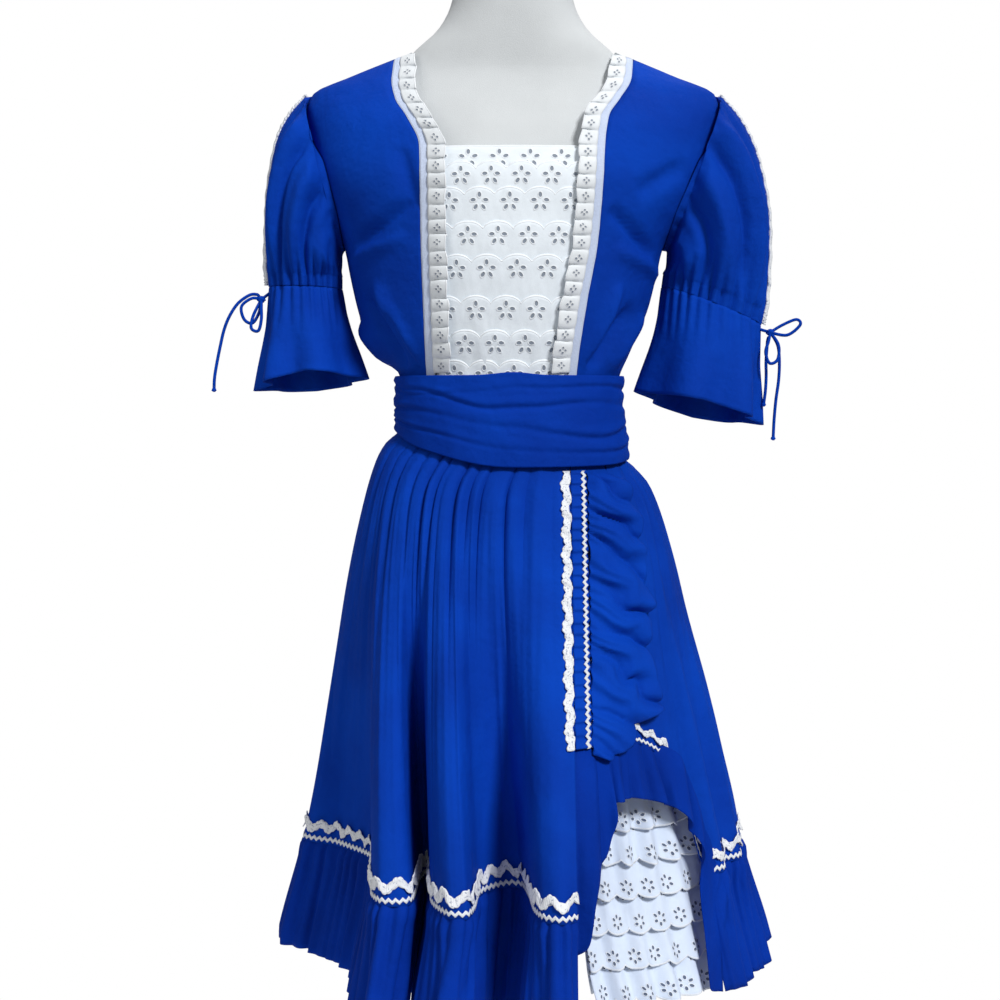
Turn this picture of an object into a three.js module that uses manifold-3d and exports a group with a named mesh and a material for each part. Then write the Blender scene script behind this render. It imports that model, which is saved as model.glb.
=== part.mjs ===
// A square dance dress on a limbless dress form: blue cotton with white eyelet, lace and rickrack.
// Millimetres, +Z up, the front of the dress faces -Y, +X is the wearer's left.
// The origin is on the floor, at the middle of the stand's base.
import * as THREE from 'three';
import { mergeVertices } from 'three/addons/utils/BufferGeometryUtils.js';
import Module from 'manifold-3d';

const wasm = await Module();
wasm.setup();

// Driving heights.
const WAIST_Z = 1012;
const SHOULDER_NECK_Z = 1400;
const SHOULDER_TIP_Z = 1360;
const ARMPIT_Z = 1190;
const PANEL_TOP_Z = 1289;
const BACK_NECK_Z = 1372;
const CUMMERBUND_TOP_Z = 1052;
const SEAM_Z = 552;
const HEM_Z = 440;
const SHIRR_BOTTOM_Z = 690;

// Cloth and gaps.
const CLOTH = 2;
const LACE = 1.2;
const SEAM_GAP = 0.3;
const LAYER_GAP = 0.8;
const ARMHOLE_GAP = 1.8;
const ROUNDNESS = 0.92;

const BAND_WIDTH = 9.5;
const RUFFLE_WIDTH = 17;
const CORD_DIAMETER = 3.5;

// Half-widths and depths of the bodice. Right and left are the wearer's.
const BODY = [
  { z: 1012, right: 122, left: 115, front: 97, back: 84 },
  { z: 1030, right: 122, left: 112, front: 97, back: 84 },
  { z: 1052, right: 124, left: 117, front: 98, back: 85 },
  { z: 1075, right: 145, left: 127, front: 104, back: 90 },
  { z: 1092, right: 159, left: 134, front: 109, back: 93 },
  { z: 1125, right: 170, left: 148, front: 116, back: 97 },
  { z: 1160, right: 178, left: 157, front: 122, back: 100 },
  { z: 1190, right: 184, left: 164, front: 125, back: 101 },
  { z: 1250, right: 207, left: 200, front: 126, back: 101 },
  { z: 1310, right: 222, left: 222, front: 106, back: 101 },
  { z: 1340, right: 226, left: 227, front: 85, back: 94 },
  { z: 1360, right: 220, left: 222, front: 68, back: 80 },
  { z: 1380, right: 178, left: 178, front: 55, back: 70 },
  { z: 1400, right: 129, left: 131, front: 44, back: 58 },
];

// Distance of the neckline's outer edge from the middle, on each side.
const NECKLINE = [
  { z: 1012, right: 90, left: 64 },
  { z: 1059, right: 92, left: 67 },
  { z: 1125, right: 94, left: 76 },
  { z: 1191, right: 96, left: 87.5 },
  { z: 1257, right: 97, left: 93 },
  { z: 1290, right: 98, left: 95 },
  { z: 1323, right: 112, left: 100 },
  { z: 1345, right: 125, left: 113 },
  { z: 1368, right: 130, left: 126 },
  { z: 1400, right: 129, left: 131 },
];

// Distance of the armhole's edge from the middle.
const ARMHOLE = [
  { z: 1190, right: 184, left: 164 },
  { z: 1224, right: 188, left: 173 },
  { z: 1250, right: 194, left: 184 },
  { z: 1280, right: 202, left: 197 },
  { z: 1310, right: 214, left: 213 },
  { z: 1340, right: 220, left: 222 },
  { z: 1360, right: 220, left: 222 },
];

// The dress form, clear of the cloth all round.
const FORM = [
  { z: 760, half: 150, front: 97, back: 107 },
  { z: 800, half: 158, front: 104, back: 116 },
  { z: 850, half: 153, front: 106, back: 116 },
  { z: 900, half: 138, front: 102, back: 106 },
  { z: 950, half: 110, front: 87, back: 80 },
  { z: 1010, half: 102, front: 84, back: 73 },
  { z: 1060, half: 108, front: 88, back: 76 },
  { z: 1092, half: 124, front: 97, back: 83 },
  { z: 1125, half: 138, front: 104, back: 87 },
  { z: 1160, half: 147, front: 110, back: 90 },
  { z: 1190, half: 154, front: 114, back: 91 },
  { z: 1250, half: 174, front: 114, back: 91 },
  { z: 1310, half: 186, front: 94, back: 90 },
  { z: 1340, half: 180, front: 76, back: 80.6 },
  { z: 1360, half: 162.6, front: 64, back: 66.6 },
  { z: 1385, half: 128.6, front: 56, back: 50.6 },
  { z: 1408, half: 108, front: 56, back: 48 },
  { z: 1432, half: 82, front: 56, back: 48 },
  { z: 1456, half: 69, front: 56, back: 48 },
  { z: 1490, half: 61, front: 54, back: 46 },
];
const FORM_COLUMNS = 24;
const NECK_CAP = { thickness: 7, radius: 56, middleY: -4 };

const POLE_RADIUS = 16;
const STAND_SIDES = 24;
const BASE_PROFILE = [
  { radius: 0, z: 0 },
  { radius: 176, z: 0 },
  { radius: 180, z: 4 },
  { radius: 178, z: 10 },
  { radius: 60, z: 17 },
  { radius: 28, z: 34 },
  { radius: 0, z: 34 },
];

// Lower edge of the cummerbund round the waist, by angle from the front towards the wearer's left.
const CUMMERBUND_EDGE = [
  { angle: -180, z: 985 },
  { angle: -90, z: 994 },
  { angle: -45, z: 974 },
  { angle: 0, z: 956 },
  { angle: 45, z: 957 },
  { angle: 90, z: 964 },
  { angle: 135, z: 975 },
  { angle: 180, z: 985 },
];
const CUMMERBUND = [
  { z: 940, right: 128, left: 126, front: 103, back: 93 },
  { z: 975, right: 127, left: 124, front: 102.5, back: 91 },
  { z: 1000, right: 126, left: 119.5, front: 101.5, back: 88.5 },
  { z: 1026, right: 125.5, left: 116.5, front: 100.5, back: 87.5 },
  { z: 1056, right: 126.5, left: 119.5, front: 100.5, back: 87.5 },
];
const CUMMERBUND_FOLDS = [0.4, 3.6, 0.8, 4.2, 0.9, 3.4, 0.4];
const CUMMERBUND_COLUMNS = 28;

// Half-widths and depths of the skirt, by the drop below the cummerbund's edge.
const SKIRT = [
  { drop: -60, right: 120.5, left: 113, front: 95.5, back: 82 },
  { drop: 0, right: 121.5, left: 119.5, front: 98.5, back: 85.3 },
  { drop: 12, right: 137, left: 132, front: 105, back: 96 },
  { drop: 34, right: 150, left: 148, front: 117, back: 110 },
  { drop: 100, right: 169, left: 170, front: 141, back: 141 },
  { drop: 170, right: 184, left: 186, front: 163, back: 163 },
  { drop: 240, right: 196, left: 203, front: 185, back: 183 },
  { drop: 310, right: 208, left: 219.5, front: 206, back: 201 },
  { drop: 380, right: 220, left: 236, front: 222, back: 217 },
  { drop: 430, right: 230, left: 245, front: 231, back: 227 },
  { drop: 550, right: 258, left: 275, front: 254, back: 252 },
];
const SKIRT_LEVELS = [0, 0.08, 0.22, 0.45, 0.72];
const TRIM_ROOM = 30;
const BACK_GATHERS = 23;
const BACK_FLOUNCE_GATHERS = 31;
const FRONT_EDGE_X = 58.7;

// Large folds of the skirt's side and back: angle, half the width in degrees, and depth.
const FOLDS = [
  { angle: 59, width: 6, depth: 10 },
  { angle: 73, width: 7, depth: 12 },
  { angle: 90, width: 10, depth: 12 },
  { angle: 113, width: 10, depth: 14 },
  { angle: 136, width: 10, depth: 13 },
  { angle: 158, width: 9, depth: 15 },
  { angle: 180, width: 10, depth: 13 },
  { angle: 203, width: 10, depth: 15 },
  { angle: 226, width: 10, depth: 13 },
  { angle: 249, width: 9, depth: 11 },
];

// Front panel: distance of each column from the middle at the waist and at the seam, from the side
// seam to the front edge, and how far its large pipe folds stand before the plain ring there.
const FRONT_COLUMNS = [
  { waist: -200, seam: -300, out: 0 },
  { waist: -120, seam: -222, out: -56 },
  { waist: -117.5, seam: -208, out: -81 },
  { waist: -114.5, seam: -186, out: -104 },
  { waist: -111, seam: -165, out: -102 },
  { waist: -107, seam: -146, out: -84 },
  { waist: -102.5, seam: -139, out: 30 },
  { waist: -97.5, seam: -127, out: 48 },
  { waist: -92, seam: -112, out: 43 },
  { waist: -86, seam: -99, out: 25 },
  { waist: -80, seam: -95.5, out: -40 },
  { waist: -73.5, seam: -90, out: -66 },
  { waist: -67, seam: -84.5, out: -60 },
  { waist: -60.5, seam: -81, out: 20 },
  { waist: -54, seam: -72, out: 48 },
  { waist: -47, seam: -58, out: 57 },
  { waist: -40, seam: -46, out: 54 },
  { waist: -33, seam: -39, out: 33 },
  { waist: -26, seam: -35, out: -24 },
  { waist: -18, seam: -24, out: -52 },
  { waist: -9, seam: -4, out: -80 },
  { waist: 0, seam: 8, out: -74 },
  { waist: 9, seam: 15, out: -30 },
  { waist: 20, seam: 19, out: 25 },
  { waist: 32, seam: 28, out: 50 },
  { waist: 45, seam: 44, out: 60 },
  { waist: 58.7, seam: 58.7, out: 50 },
];

// How far the skirt stands out beside the front edge, by distance from the middle.
const EDGE_FOLD = [
  { x: 44, out: 60 },
  { x: 58.7, out: 50 },
  { x: 76, out: 45 },
  { x: 100, out: 30 },
  { x: 130, out: 10 },
  { x: 155, out: 0 },
];

// Hem seam by angle, where the skirt is hitched up at the wearer's left front.
const HITCHED_SEAM = [
  { angle: 30, z: 690 },
  { angle: 36, z: 681 },
  { angle: 41, z: 667 },
  { angle: 45, z: 640 },
  { angle: 49, z: 600 },
  { angle: 52, z: 566 },
  { angle: 55, z: 552 },
  { angle: 60, z: 552 },
];
const FLOUNCE_START = { x: 198, angle: 52 };

// Front edge of the back panel, which tucks under the drape, and the drape's own free edge.
const DRAPE_EDGE = [
  { z: 1012, panel: 96, drape: 95.2 },
  { z: 958, panel: 98, drape: 96.8 },
  { z: 948, panel: 99.9, drape: 98.2 },
  { z: 938, panel: 101, drape: 111 },
  { z: 926, panel: 104, drape: 117 },
  { z: 896, panel: 110, drape: 124 },
  { z: 852, panel: 115, drape: 129 },
  { z: 819, panel: 116, drape: 136 },
  { z: 790, panel: 117, drape: 131 },
  { z: 747, panel: 118, drape: 136 },
  { z: 715, panel: 119, drape: 145 },
  { z: 690, panel: 120, drape: 146 },
];
const DRAPE_TOP_Z = 1006;
const DRAPE_HEM = [
  { x: 76, z: 684 },
  { x: 90, z: 678 },
  { x: 104, z: 682 },
  { x: 120, z: 704 },
  { x: 146, z: 714 },
];
const DRAPE = {
  inner: 76.4, columns: 5, rows: 29, freeBelow: 954, pitch: 36, slope: 0.7, depth: 4, base: 3.5, puff: 6,
};
const SHIRR = { outerX: 59.4, innerX: 75.2, gathers: 24, depth: 1.1, thickness: 1.6 };

// The two trims beside the shirred strip: its lace edge on one side and its rickrack on the other.
const SHIRR_TRIM_TOP_Z = 952;
const SHIRR_TRIMS = [
  { name: 'shirr_lace', outerX: 51.5, innerX: 57.8, rows: 38, out: 3.6, waveOuter: 0.6, waveInner: 1.5 },
  { name: 'shirr_rickrack', outerX: 70, innerX: 73.5, rows: 16, out: 3.1, waveOuter: 0, waveInner: 0 },
];

// Arch flounce: where it is sewn on, and where its free edge hangs.
const ARCH_FLOUNCE = [
  { u: 0, topX: 61, topZ: 687, hemX: 60, hemZ: 505, lift: -8 },
  { u: 0.12, topX: 74, topZ: 682, hemX: 72, hemZ: 588, lift: -5 },
  { u: 0.22, topX: 84, topZ: 677, hemX: 88, hemZ: 612, lift: 0 },
  { u: 0.34, topX: 98, topZ: 676, hemX: 99, hemZ: 643, lift: 6 },
  { u: 0.46, topX: 112, topZ: 685, hemX: 116, hemZ: 637, lift: 8 },
  { u: 0.6, topX: 130, topZ: 684, hemX: 140, hemZ: 628, lift: 8 },
  { u: 0.72, topX: 148, topZ: 669, hemX: 160, hemZ: 616, lift: 7 },
  { u: 0.84, topX: 166, topZ: 640, hemX: 178, hemZ: 592, lift: 5 },
  { u: 0.93, topX: 178, topZ: 604, hemX: 189, hemZ: 545, lift: 2 },
  { u: 1, topX: 187, topZ: 575, hemX: 196, hemZ: 470, lift: 0 },
];
const ARCH_COLUMNS = 22;
const ARCH_SEAM_GAP = 0.4;

// White eyelet panel under the arch, and its tiers.
const UNDERSKIRT_EDGE = [
  { z: 1004, right: 44, left: 90 },
  { z: 900, right: 56, left: 130 },
  { z: 760, right: 62, left: 170 },
  { z: 640, right: 68, left: 190 },
  { z: 570, right: 67, left: 200 },
  { z: 520, right: 74, left: 206 },
  { z: 480, right: 77, left: 208 },
  { z: 430, right: 86, left: 210 },
];
const UNDERSKIRT_LEVELS = [1004, 957, 925, 830, 700, 640, 595, 550, 515, 485, 450];
const UNDERSKIRT = { columns: 15, topInset: 7.5, hemInset: 27, flutes: 5, fluteDepth: 3.5 };
const TIER = { count: 7, firstHem: 634, pitch: 32.3, height: 50, stand: 8.6, slant: 9 };

// Sleeve rings from the cap to the casing, as half-width from the middle and height at the outer
// and inner side, and half the depth. The armhole itself is the first ring.
const SLEEVES = {
  right: {
    rings: [
      { outX: 231, outZ: 1366, inX: 187, inZ: 1188, depth: 56, puff: 1.5 },
      { outX: 249, outZ: 1346, inX: 189, inZ: 1184, depth: 63, puff: 3 },
      { outX: 262, outZ: 1312, inX: 191, inZ: 1180, depth: 65, puff: 2.5 },
      { outX: 269.5, outZ: 1235, inX: 194, inZ: 1171, depth: 61, puff: 1.4 },
      { outX: 267, outZ: 1164, inX: 196, inZ: 1161, depth: 45, puff: 2.2 },
      { outX: 266, outZ: 1150, inX: 196, inZ: 1148, depth: 43, puff: 2.2 },
    ],
    cuff: [
      { outX: 266, outZ: 1149.5, inX: 196, inZ: 1147.5, frontZ: 1148.5, backZ: 1148.5, depth: 43, wave: 2 },
      { outX: 271, outZ: 1092, inX: 182, inZ: 1098, frontZ: 1100, backZ: 1090, depth: 55, wave: 4 },
      { outX: 277, outZ: 1037, inX: 166, inZ: 1048, frontZ: 1058, backZ: 1036, depth: 66, wave: 7 },
    ],
  },
  left: {
    rings: [
      { outX: 233, outZ: 1367, inX: 177, inZ: 1192, depth: 56, puff: 1.5 },
      { outX: 256, outZ: 1343, inX: 178, inZ: 1188, depth: 64, puff: 3 },
      { outX: 271, outZ: 1302, inX: 179, inZ: 1184, depth: 66, puff: 2.5 },
      { outX: 281, outZ: 1215, inX: 179, inZ: 1178, depth: 62, puff: 1.4 },
      { outX: 274, outZ: 1124, inX: 178, inZ: 1168, depth: 47, puff: 2.2 },
      { outX: 271, outZ: 1109, inX: 174, inZ: 1154, depth: 45, puff: 2.2 },
    ],
    cuff: [
      { outX: 270.9, outZ: 1108.4, inX: 173.9, inZ: 1153.4, frontZ: 1131, backZ: 1131, depth: 45, wave: 2 },
      { outX: 270, outZ: 1052, inX: 160, inZ: 1090, frontZ: 1078, backZ: 1066, depth: 56, wave: 4 },
      { outX: 268, outZ: 1001, inX: 141, inZ: 1033, frontZ: 1026, backZ: 1006, depth: 66, wave: 7 },
    ],
  },
};
const SLEEVE_COLUMNS = 24;
const CUFF_WAVES = 8;

// Ties: the middle of each knot, the stub that comes out of the casing, the loops and the free tails.
const TIES = [
  {
    side: 'right',
    knot: [-275, -10, 1136],
    stub: [-265.9, -8.7, 1143.1],
    loops: [
      [[-275, -10, 1136], [-285, -13, 1137], [-296, -15, 1128], [-293, -16, 1114], [-284, -15, 1110],
        [-277, -13, 1122], [-275, -10, 1136]],
      [[-275, -10, 1136], [-274, -18, 1127], [-273, -25, 1113], [-276, -27, 1101], [-284, -24, 1104],
        [-283, -16, 1118], [-275, -10, 1136]],
    ],
    tails: [
      [[-278.1, -6.6, 1139.3], [-281, -3.5, 1141.8], [-289, -4.5, 1141], [-301, -7, 1132], [-310, -9, 1118], [-316, -9, 1103],
        [-320, -9, 1086], [-324, -9, 1066], [-326.5, -9, 1050], [-327, -9, 1037]],
    ],
  },
  {
    side: 'left',
    knot: [282, -8, 1100],
    stub: [270.4, -7.2, 1103.5],
    loops: [
      [[282, -8, 1100], [295, -9, 1108], [310, -11, 1114], [314, -12, 1108], [300, -11, 1097],
        [282, -8, 1100]],
      [[282, -8, 1100], [279, -15, 1090], [275, -20, 1078], [279, -22, 1066], [288, -20, 1070],
        [290, -14, 1086], [282, -8, 1100]],
    ],
    tails: [
      [[280.6, -5.3, 1095.2], [279.5, -4, 1090], [279, -4, 1082], [278, -4, 1068], [278, -5, 1052], [277, -6, 1036],
        [275, -6, 1021]],
      [[285.1, -5.2, 1096.2], [287.4, -4.2, 1093], [291, -6, 1084], [292, -8, 1068], [291, -9, 1048], [288, -9, 1026],
        [286, -9, 1004], [285, -9, 984]],
    ],
  },
];
const KNOT_RADIUS = 5.2;

const blueCotton = { color: 0x0a3fb0, roughness: 0.78, metalness: 0 };
const whiteEyelet = { color: 0xdde8f4, roughness: 0.85, metalness: 0 };
const whiteBand = { color: 0xc4d4f0, roughness: 0.7, metalness: 0 };
const whiteTrim = { color: 0xe6ecf2, roughness: 0.8, metalness: 0 };
const formCloth = { color: 0xd8dddf, roughness: 0.8, metalness: 0 };
const standMetal = { color: 0xb9bcc0, roughness: 0.35, metalness: 0.8 };

const dress = new THREE.Group();

const lerp = (a, b, t) => a + (b - a) * t;
const clamp = (value, low = 0, high = 1) => Math.min(high, Math.max(low, value));
const radians = (degrees) => (degrees * Math.PI) / 180;

function smooth(low, high, value) {
  const t = clamp((value - low) / (high - low));
  return t * t * (3 - 2 * t);
}

// A smooth function of one named column of a table, over the key column, with no overshoot.
function column(rows, key, name) {
  const ordered = [...rows].sort((p, q) => p[key] - q[key]);
  const xs = ordered.map((row) => row[key]);
  const ys = ordered.map((row) => row[name]);
  const last = xs.length - 1;
  const slope = (i) => (ys[i + 1] - ys[i]) / (xs[i + 1] - xs[i]);
  const tangents = ys.map((_, i) => {
    if (i === 0) return slope(0);
    if (i === last) return slope(last - 1);
    const before = slope(i - 1);
    const after = slope(i);
    return before * after <= 0 ? 0 : (2 * before * after) / (before + after);
  });
  return (value) => {
    const x = clamp(value, xs[0], xs[last]);
    let i = 0;
    while (i < last - 1 && x > xs[i + 1]) i += 1;
    const span = xs[i + 1] - xs[i];
    const t = (x - xs[i]) / span;
    const h00 = (1 + 2 * t) * (1 - t) * (1 - t);
    const h10 = t * (1 - t) * (1 - t);
    const h01 = t * t * (3 - 2 * t);
    const h11 = t * t * (t - 1);
    return h00 * ys[i] + h10 * span * tangents[i] + h01 * ys[i + 1] + h11 * span * tangents[i + 1];
  };
}

const columnsOf = (rows, key, names) =>
  Object.fromEntries(names.map((name) => [name, column(rows, key, name)]));

const RING_NAMES = ['right', 'left', 'front', 'back'];
const body = columnsOf(BODY, 'z', RING_NAMES);
const belt = columnsOf(CUMMERBUND, 'z', RING_NAMES);
const skirt = columnsOf(SKIRT, 'drop', RING_NAMES);
const neckline = columnsOf(NECKLINE, 'z', ['right', 'left']);
const armhole = columnsOf(ARMHOLE, 'z', ['right', 'left']);
const beltEdgeAt = column(CUMMERBUND_EDGE, 'angle', 'z');
const turnOf = (angle) => (angle > 180 ? angle - 360 : angle);
const beltEdge = (angle) => beltEdgeAt(turnOf(angle));
const hitchedSeam = column(HITCHED_SEAM, 'angle', 'z');
const drapeEdge = columnsOf(DRAPE_EDGE, 'z', ['panel', 'drape']);
const edgeFold = column(EDGE_FOLD, 'x', 'out');
const underEdge = columnsOf(UNDERSKIRT_EDGE, 'z', ['right', 'left']);

// A point of a rounded ring: half-widths to each side, depths to the front and back.
function ringPoint(ring, key, angle, z, out = 0) {
  const phi = radians(angle);
  const s = Math.sin(phi);
  const c = Math.cos(phi);
  const half = (s < 0 ? ring.right(key) : ring.left(key)) + out;
  const deep = (c > 0 ? ring.front(key) : ring.back(key)) + out;
  const x = half * Math.sign(s) * Math.abs(s) ** ROUNDNESS;
  const y = -deep * Math.sign(c) * Math.abs(c) ** ROUNDNESS;
  return new THREE.Vector3(x, y, z);
}

// The angle at which a ring reaches a distance from the middle, on its front.
function angleAt(half, distance) {
  const ratio = clamp(distance / half, 0, 1) ** (1 / ROUNDNESS);
  return THREE.MathUtils.radToDeg(Math.asin(ratio));
}

// A grid of points with its outward normals, which walls and the trims on them are made from.
function makeGrid({ columns, rows, closed = false, side = 1, point }) {
  const width = closed ? columns : columns + 1;
  const points = [];
  for (let j = 0; j <= rows; j += 1) {
    for (let i = 0; i < width; i += 1) points.push(point(i, j));
  }
  const at = (i, j) => {
    const column = closed ? (i + columns) % columns : clamp(i, 0, columns);
    return points[clamp(j, 0, rows) * width + column];
  };
  const normals = [];
  for (let j = 0; j <= rows; j += 1) {
    for (let i = 0; i < width; i += 1) {
      const across = at(i + 1, j).clone().sub(at(i - 1, j));
      const up = at(i, j + 1).clone().sub(at(i, j - 1));
      normals.push(across.cross(up).normalize().multiplyScalar(side));
    }
  }
  const normalAt = (i, j) => {
    const column = closed ? (i + columns) % columns : clamp(i, 0, columns);
    return normals[clamp(j, 0, rows) * width + column];
  };
  const blend = (get, i, j) => {
    const i0 = Math.min(Math.floor(i), closed ? Math.floor(i) : columns - 1);
    const j0 = Math.min(Math.floor(j), rows - 1);
    const low = get(i0, j0).clone().lerp(get(i0 + 1, j0), i - i0);
    const high = get(i0, j0 + 1).clone().lerp(get(i0 + 1, j0 + 1), i - i0);
    return low.lerp(high, j - j0);
  };
  const over = (i, j, out) => {
    const normal = blend(normalAt, i, j).normalize();
    return blend(at, i, j).addScaledVector(normal, out);
  };
  return { columns, rows, closed, side, width, points, normals, over };
}

// A closed cloth wall on a grid: outer points, the same points moved in by the thickness, and rims.
function wallOn(grid, thickness, inside = null) {
  const { columns, rows, closed, side, width, points, normals } = grid;
  const inner = points.map((point, index) => {
    const moved = point.clone().addScaledVector(normals[index], -thickness);
    return inside ? inside(moved, index % width, Math.floor(index / width)) : moved;
  });
  const count = points.length;
  const vertices = [...points, ...inner];
  const out = (i, j) => j * width + (closed ? (i + columns) % columns : i);
  const back = (i, j) => count + out(i, j);
  const faces = [];
  const quad = (a, b, c, d) => faces.push([a, b, c], [a, c, d]);
  for (let j = 0; j < rows; j += 1) {
    for (let i = 0; i < columns; i += 1) {
      quad(out(i, j), out(i + 1, j), out(i + 1, j + 1), out(i, j + 1));
      faces.push([back(i, j), back(i + 1, j + 1), back(i + 1, j)]);
      faces.push([back(i, j), back(i, j + 1), back(i + 1, j + 1)]);
    }
  }
  for (let i = 0; i < columns; i += 1) {
    quad(out(i, 0), back(i, 0), back(i + 1, 0), out(i + 1, 0));
    quad(out(i, rows), out(i + 1, rows), back(i + 1, rows), back(i, rows));
  }
  if (!closed) {
    for (let j = 0; j < rows; j += 1) {
      quad(out(0, j), out(0, j + 1), back(0, j + 1), back(0, j));
      quad(out(columns, j), back(columns, j), back(columns, j + 1), out(columns, j + 1));
    }
  }
  return bodyFrom(vertices, side > 0 ? faces : faces.map(([a, b, c]) => [a, c, b]));
}

function bodyFrom(vertices, faces) {
  const geometry = new THREE.BufferGeometry();
  const positions = vertices.flatMap((vertex) => [vertex.x, vertex.y, vertex.z]);
  geometry.setAttribute('position', new THREE.Float32BufferAttribute(positions, 3));
  geometry.setIndex(faces.flat());
  return geometry;
}

function add(name, geometry, finish) {
  const mesh = new THREE.Mesh(geometry, new THREE.MeshStandardMaterial(finish));
  mesh.name = name;
  dress.add(mesh);
}

function toSolid(geometry) {
  const bare = geometry.clone();
  bare.deleteAttribute('normal');
  bare.deleteAttribute('uv');
  const merged = mergeVertices(bare);
  const { Manifold, Mesh } = wasm;
  return new Manifold(new Mesh({
    numProp: 3,
    vertProperties: merged.attributes.position.array,
    triVerts: merged.index.array,
  }));
}

function fromSolid(solid) {
  const { vertProperties, triVerts } = solid.getMesh();
  const geometry = new THREE.BufferGeometry();
  geometry.setAttribute('position', new THREE.Float32BufferAttribute(vertProperties, 3));
  geometry.setIndex(Array.from(triVerts));
  return geometry;
}

// Dress form and stand.
function buildForm() {
  const form = columnsOf(FORM, 'z', ['half', 'front', 'back']);
  const ring = { right: form.half, left: form.half, front: form.front, back: form.back };
  const levels = FORM.map((row) => row.z);
  const vertices = [];
  const faces = [];
  levels.forEach((z) => {
    for (let i = 0; i < FORM_COLUMNS; i += 1) {
      vertices.push(ringPoint(ring, z, (360 * i) / FORM_COLUMNS, z));
    }
  });
  const at = (i, j) => j * FORM_COLUMNS + ((i + FORM_COLUMNS) % FORM_COLUMNS);
  const bottom = vertices.push(new THREE.Vector3(0, 0, levels[0])) - 1;
  const top = vertices.push(new THREE.Vector3(0, NECK_CAP.middleY, levels.at(-1))) - 1;
  for (let i = 0; i < FORM_COLUMNS; i += 1) {
    for (let j = 0; j < levels.length - 1; j += 1) {
      faces.push([at(i, j), at(i + 1, j), at(i + 1, j + 1)], [at(i, j), at(i + 1, j + 1), at(i, j + 1)]);
    }
    faces.push([bottom, at(i + 1, 0), at(i, 0)]);
    faces.push([top, at(i, levels.length - 1), at(i + 1, levels.length - 1)]);
  }
  add('form_torso', bodyFrom(vertices, faces), formCloth);

  const topZ = levels.at(-1) + SEAM_GAP;
  const { thickness, radius, middleY } = NECK_CAP;
  add('form_neck_cap', turned([
    { radius: 0, z: topZ },
    { radius, z: topZ },
    { radius: radius - 1, z: topZ + thickness - 2 },
    { radius: radius - 6, z: topZ + thickness },
    { radius: 0, z: topZ + thickness },
  ], middleY), formCloth);
}

// A solid of revolution about an upright axis.
function turned(profile, middleY = 0) {
  const geometry = new THREE.LatheGeometry(
    profile.map((row) => new THREE.Vector2(row.radius, row.z)), STAND_SIDES);
  geometry.rotateX(Math.PI / 2);
  geometry.translate(0, middleY, 0);
  return geometry;
}

function buildStand() {
  add('stand_base', turned(BASE_PROFILE), standMetal);
  const poleBottom = BASE_PROFILE.at(-1).z + SEAM_GAP;
  const poleTop = FORM[0].z - SEAM_GAP;
  add('stand_pole', turned([
    { radius: 0, z: poleBottom },
    { radius: POLE_RADIUS, z: poleBottom },
    { radius: POLE_RADIUS, z: poleTop - 40 },
    { radius: POLE_RADIUS + 12, z: poleTop - 38 },
    { radius: POLE_RADIUS + 12, z: poleTop },
    { radius: 0, z: poleTop },
  ]), standMetal);
}

// Bodice.
const WAIST_SEAM_Z = WAIST_Z + SEAM_GAP;
const BODICE_LEVELS = [WAIST_SEAM_Z, 1048, 1057, 1075, 1100, 1130, 1160, 1190, 1212, 1242, 1280];
const YOKE_SHARES = [0.36, 0.7, 1];
const BODICE_ROWS = BODICE_LEVELS.length - 1 + YOKE_SHARES.length;
const BODICE_COLUMNS = 6;
const signOf = (side) => (side === 'right' ? -1 : 1);

// Height of a bodice row: level below the yoke, and then shared out up to the piece's top edge.
function bodiceZ(row, topZ) {
  if (row < BODICE_LEVELS.length) return BODICE_LEVELS[row];
  return lerp(BODICE_LEVELS.at(-1), topZ, YOKE_SHARES[row - BODICE_LEVELS.length]);
}

const outerAngle = (side, z) =>
  (z <= ARMPIT_Z || z >= SHOULDER_TIP_Z ? 90 : angleAt(body[side](z), armhole[side](z)));
const neckAngle = (side, z, inward = 0) => angleAt(body[side](z), neckline[side](z) - inward);

function onBody(side, face, angle, z, out = 0) {
  const full = face === 'front' ? angle : 180 - angle;
  return ringPoint(body, z, signOf(side) * full, z, out);
}

// A bodice piece runs from the side seam and armhole to the neckline, or to the middle of the back.
function bodiceGrid(side, face) {
  const front = face === 'front';
  const seam = front ? -SEAM_GAP / 2 : SEAM_GAP / 2;
  const columns = BODICE_COLUMNS;
  const neckX = neckline[side](SHOULDER_NECK_Z);
  const neckShare = front ? 0 : 3 / columns;
  const topAt = (u) => {
    if (u >= neckShare) {
      return { z: lerp(SHOULDER_NECK_Z, SHOULDER_TIP_Z, (u - neckShare) / (1 - neckShare)), angle: 90 };
    }
    const x = neckX * (u / neckShare);
    const z = lerp(BACK_NECK_Z, SHOULDER_NECK_Z, (x / neckX) ** 2);
    return { z, angle: angleAt(body[side](z), x) };
  };
  const inward = side === 'right' ? 1 : -1;
  const clockwise = front ? inward : -inward;
  return makeGrid({
    columns,
    rows: BODICE_ROWS,
    point: (i, j) => {
      const u = clockwise > 0 ? 1 - i / columns : i / columns;
      const top = topAt(u);
      const z = bodiceZ(j, top.z);
      const inner = front ? neckAngle(side, z) : 0;
      const across = lerp(inner, outerAngle(side, z), u);
      const share = smooth(BODICE_LEVELS.at(-1), top.z, z) * (front ? clamp(3 * u) : 1);
      const point = onBody(side, face, lerp(across, top.angle, share), z);
      if (u === 1) point.y = Math.abs(point.y) < 1 ? 0 : point.y;
      point.y += seam;
      if (!front && u === 0) point.x = signOf(side) * (SEAM_GAP / 2);
      return point;
    },
  });
}

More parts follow.
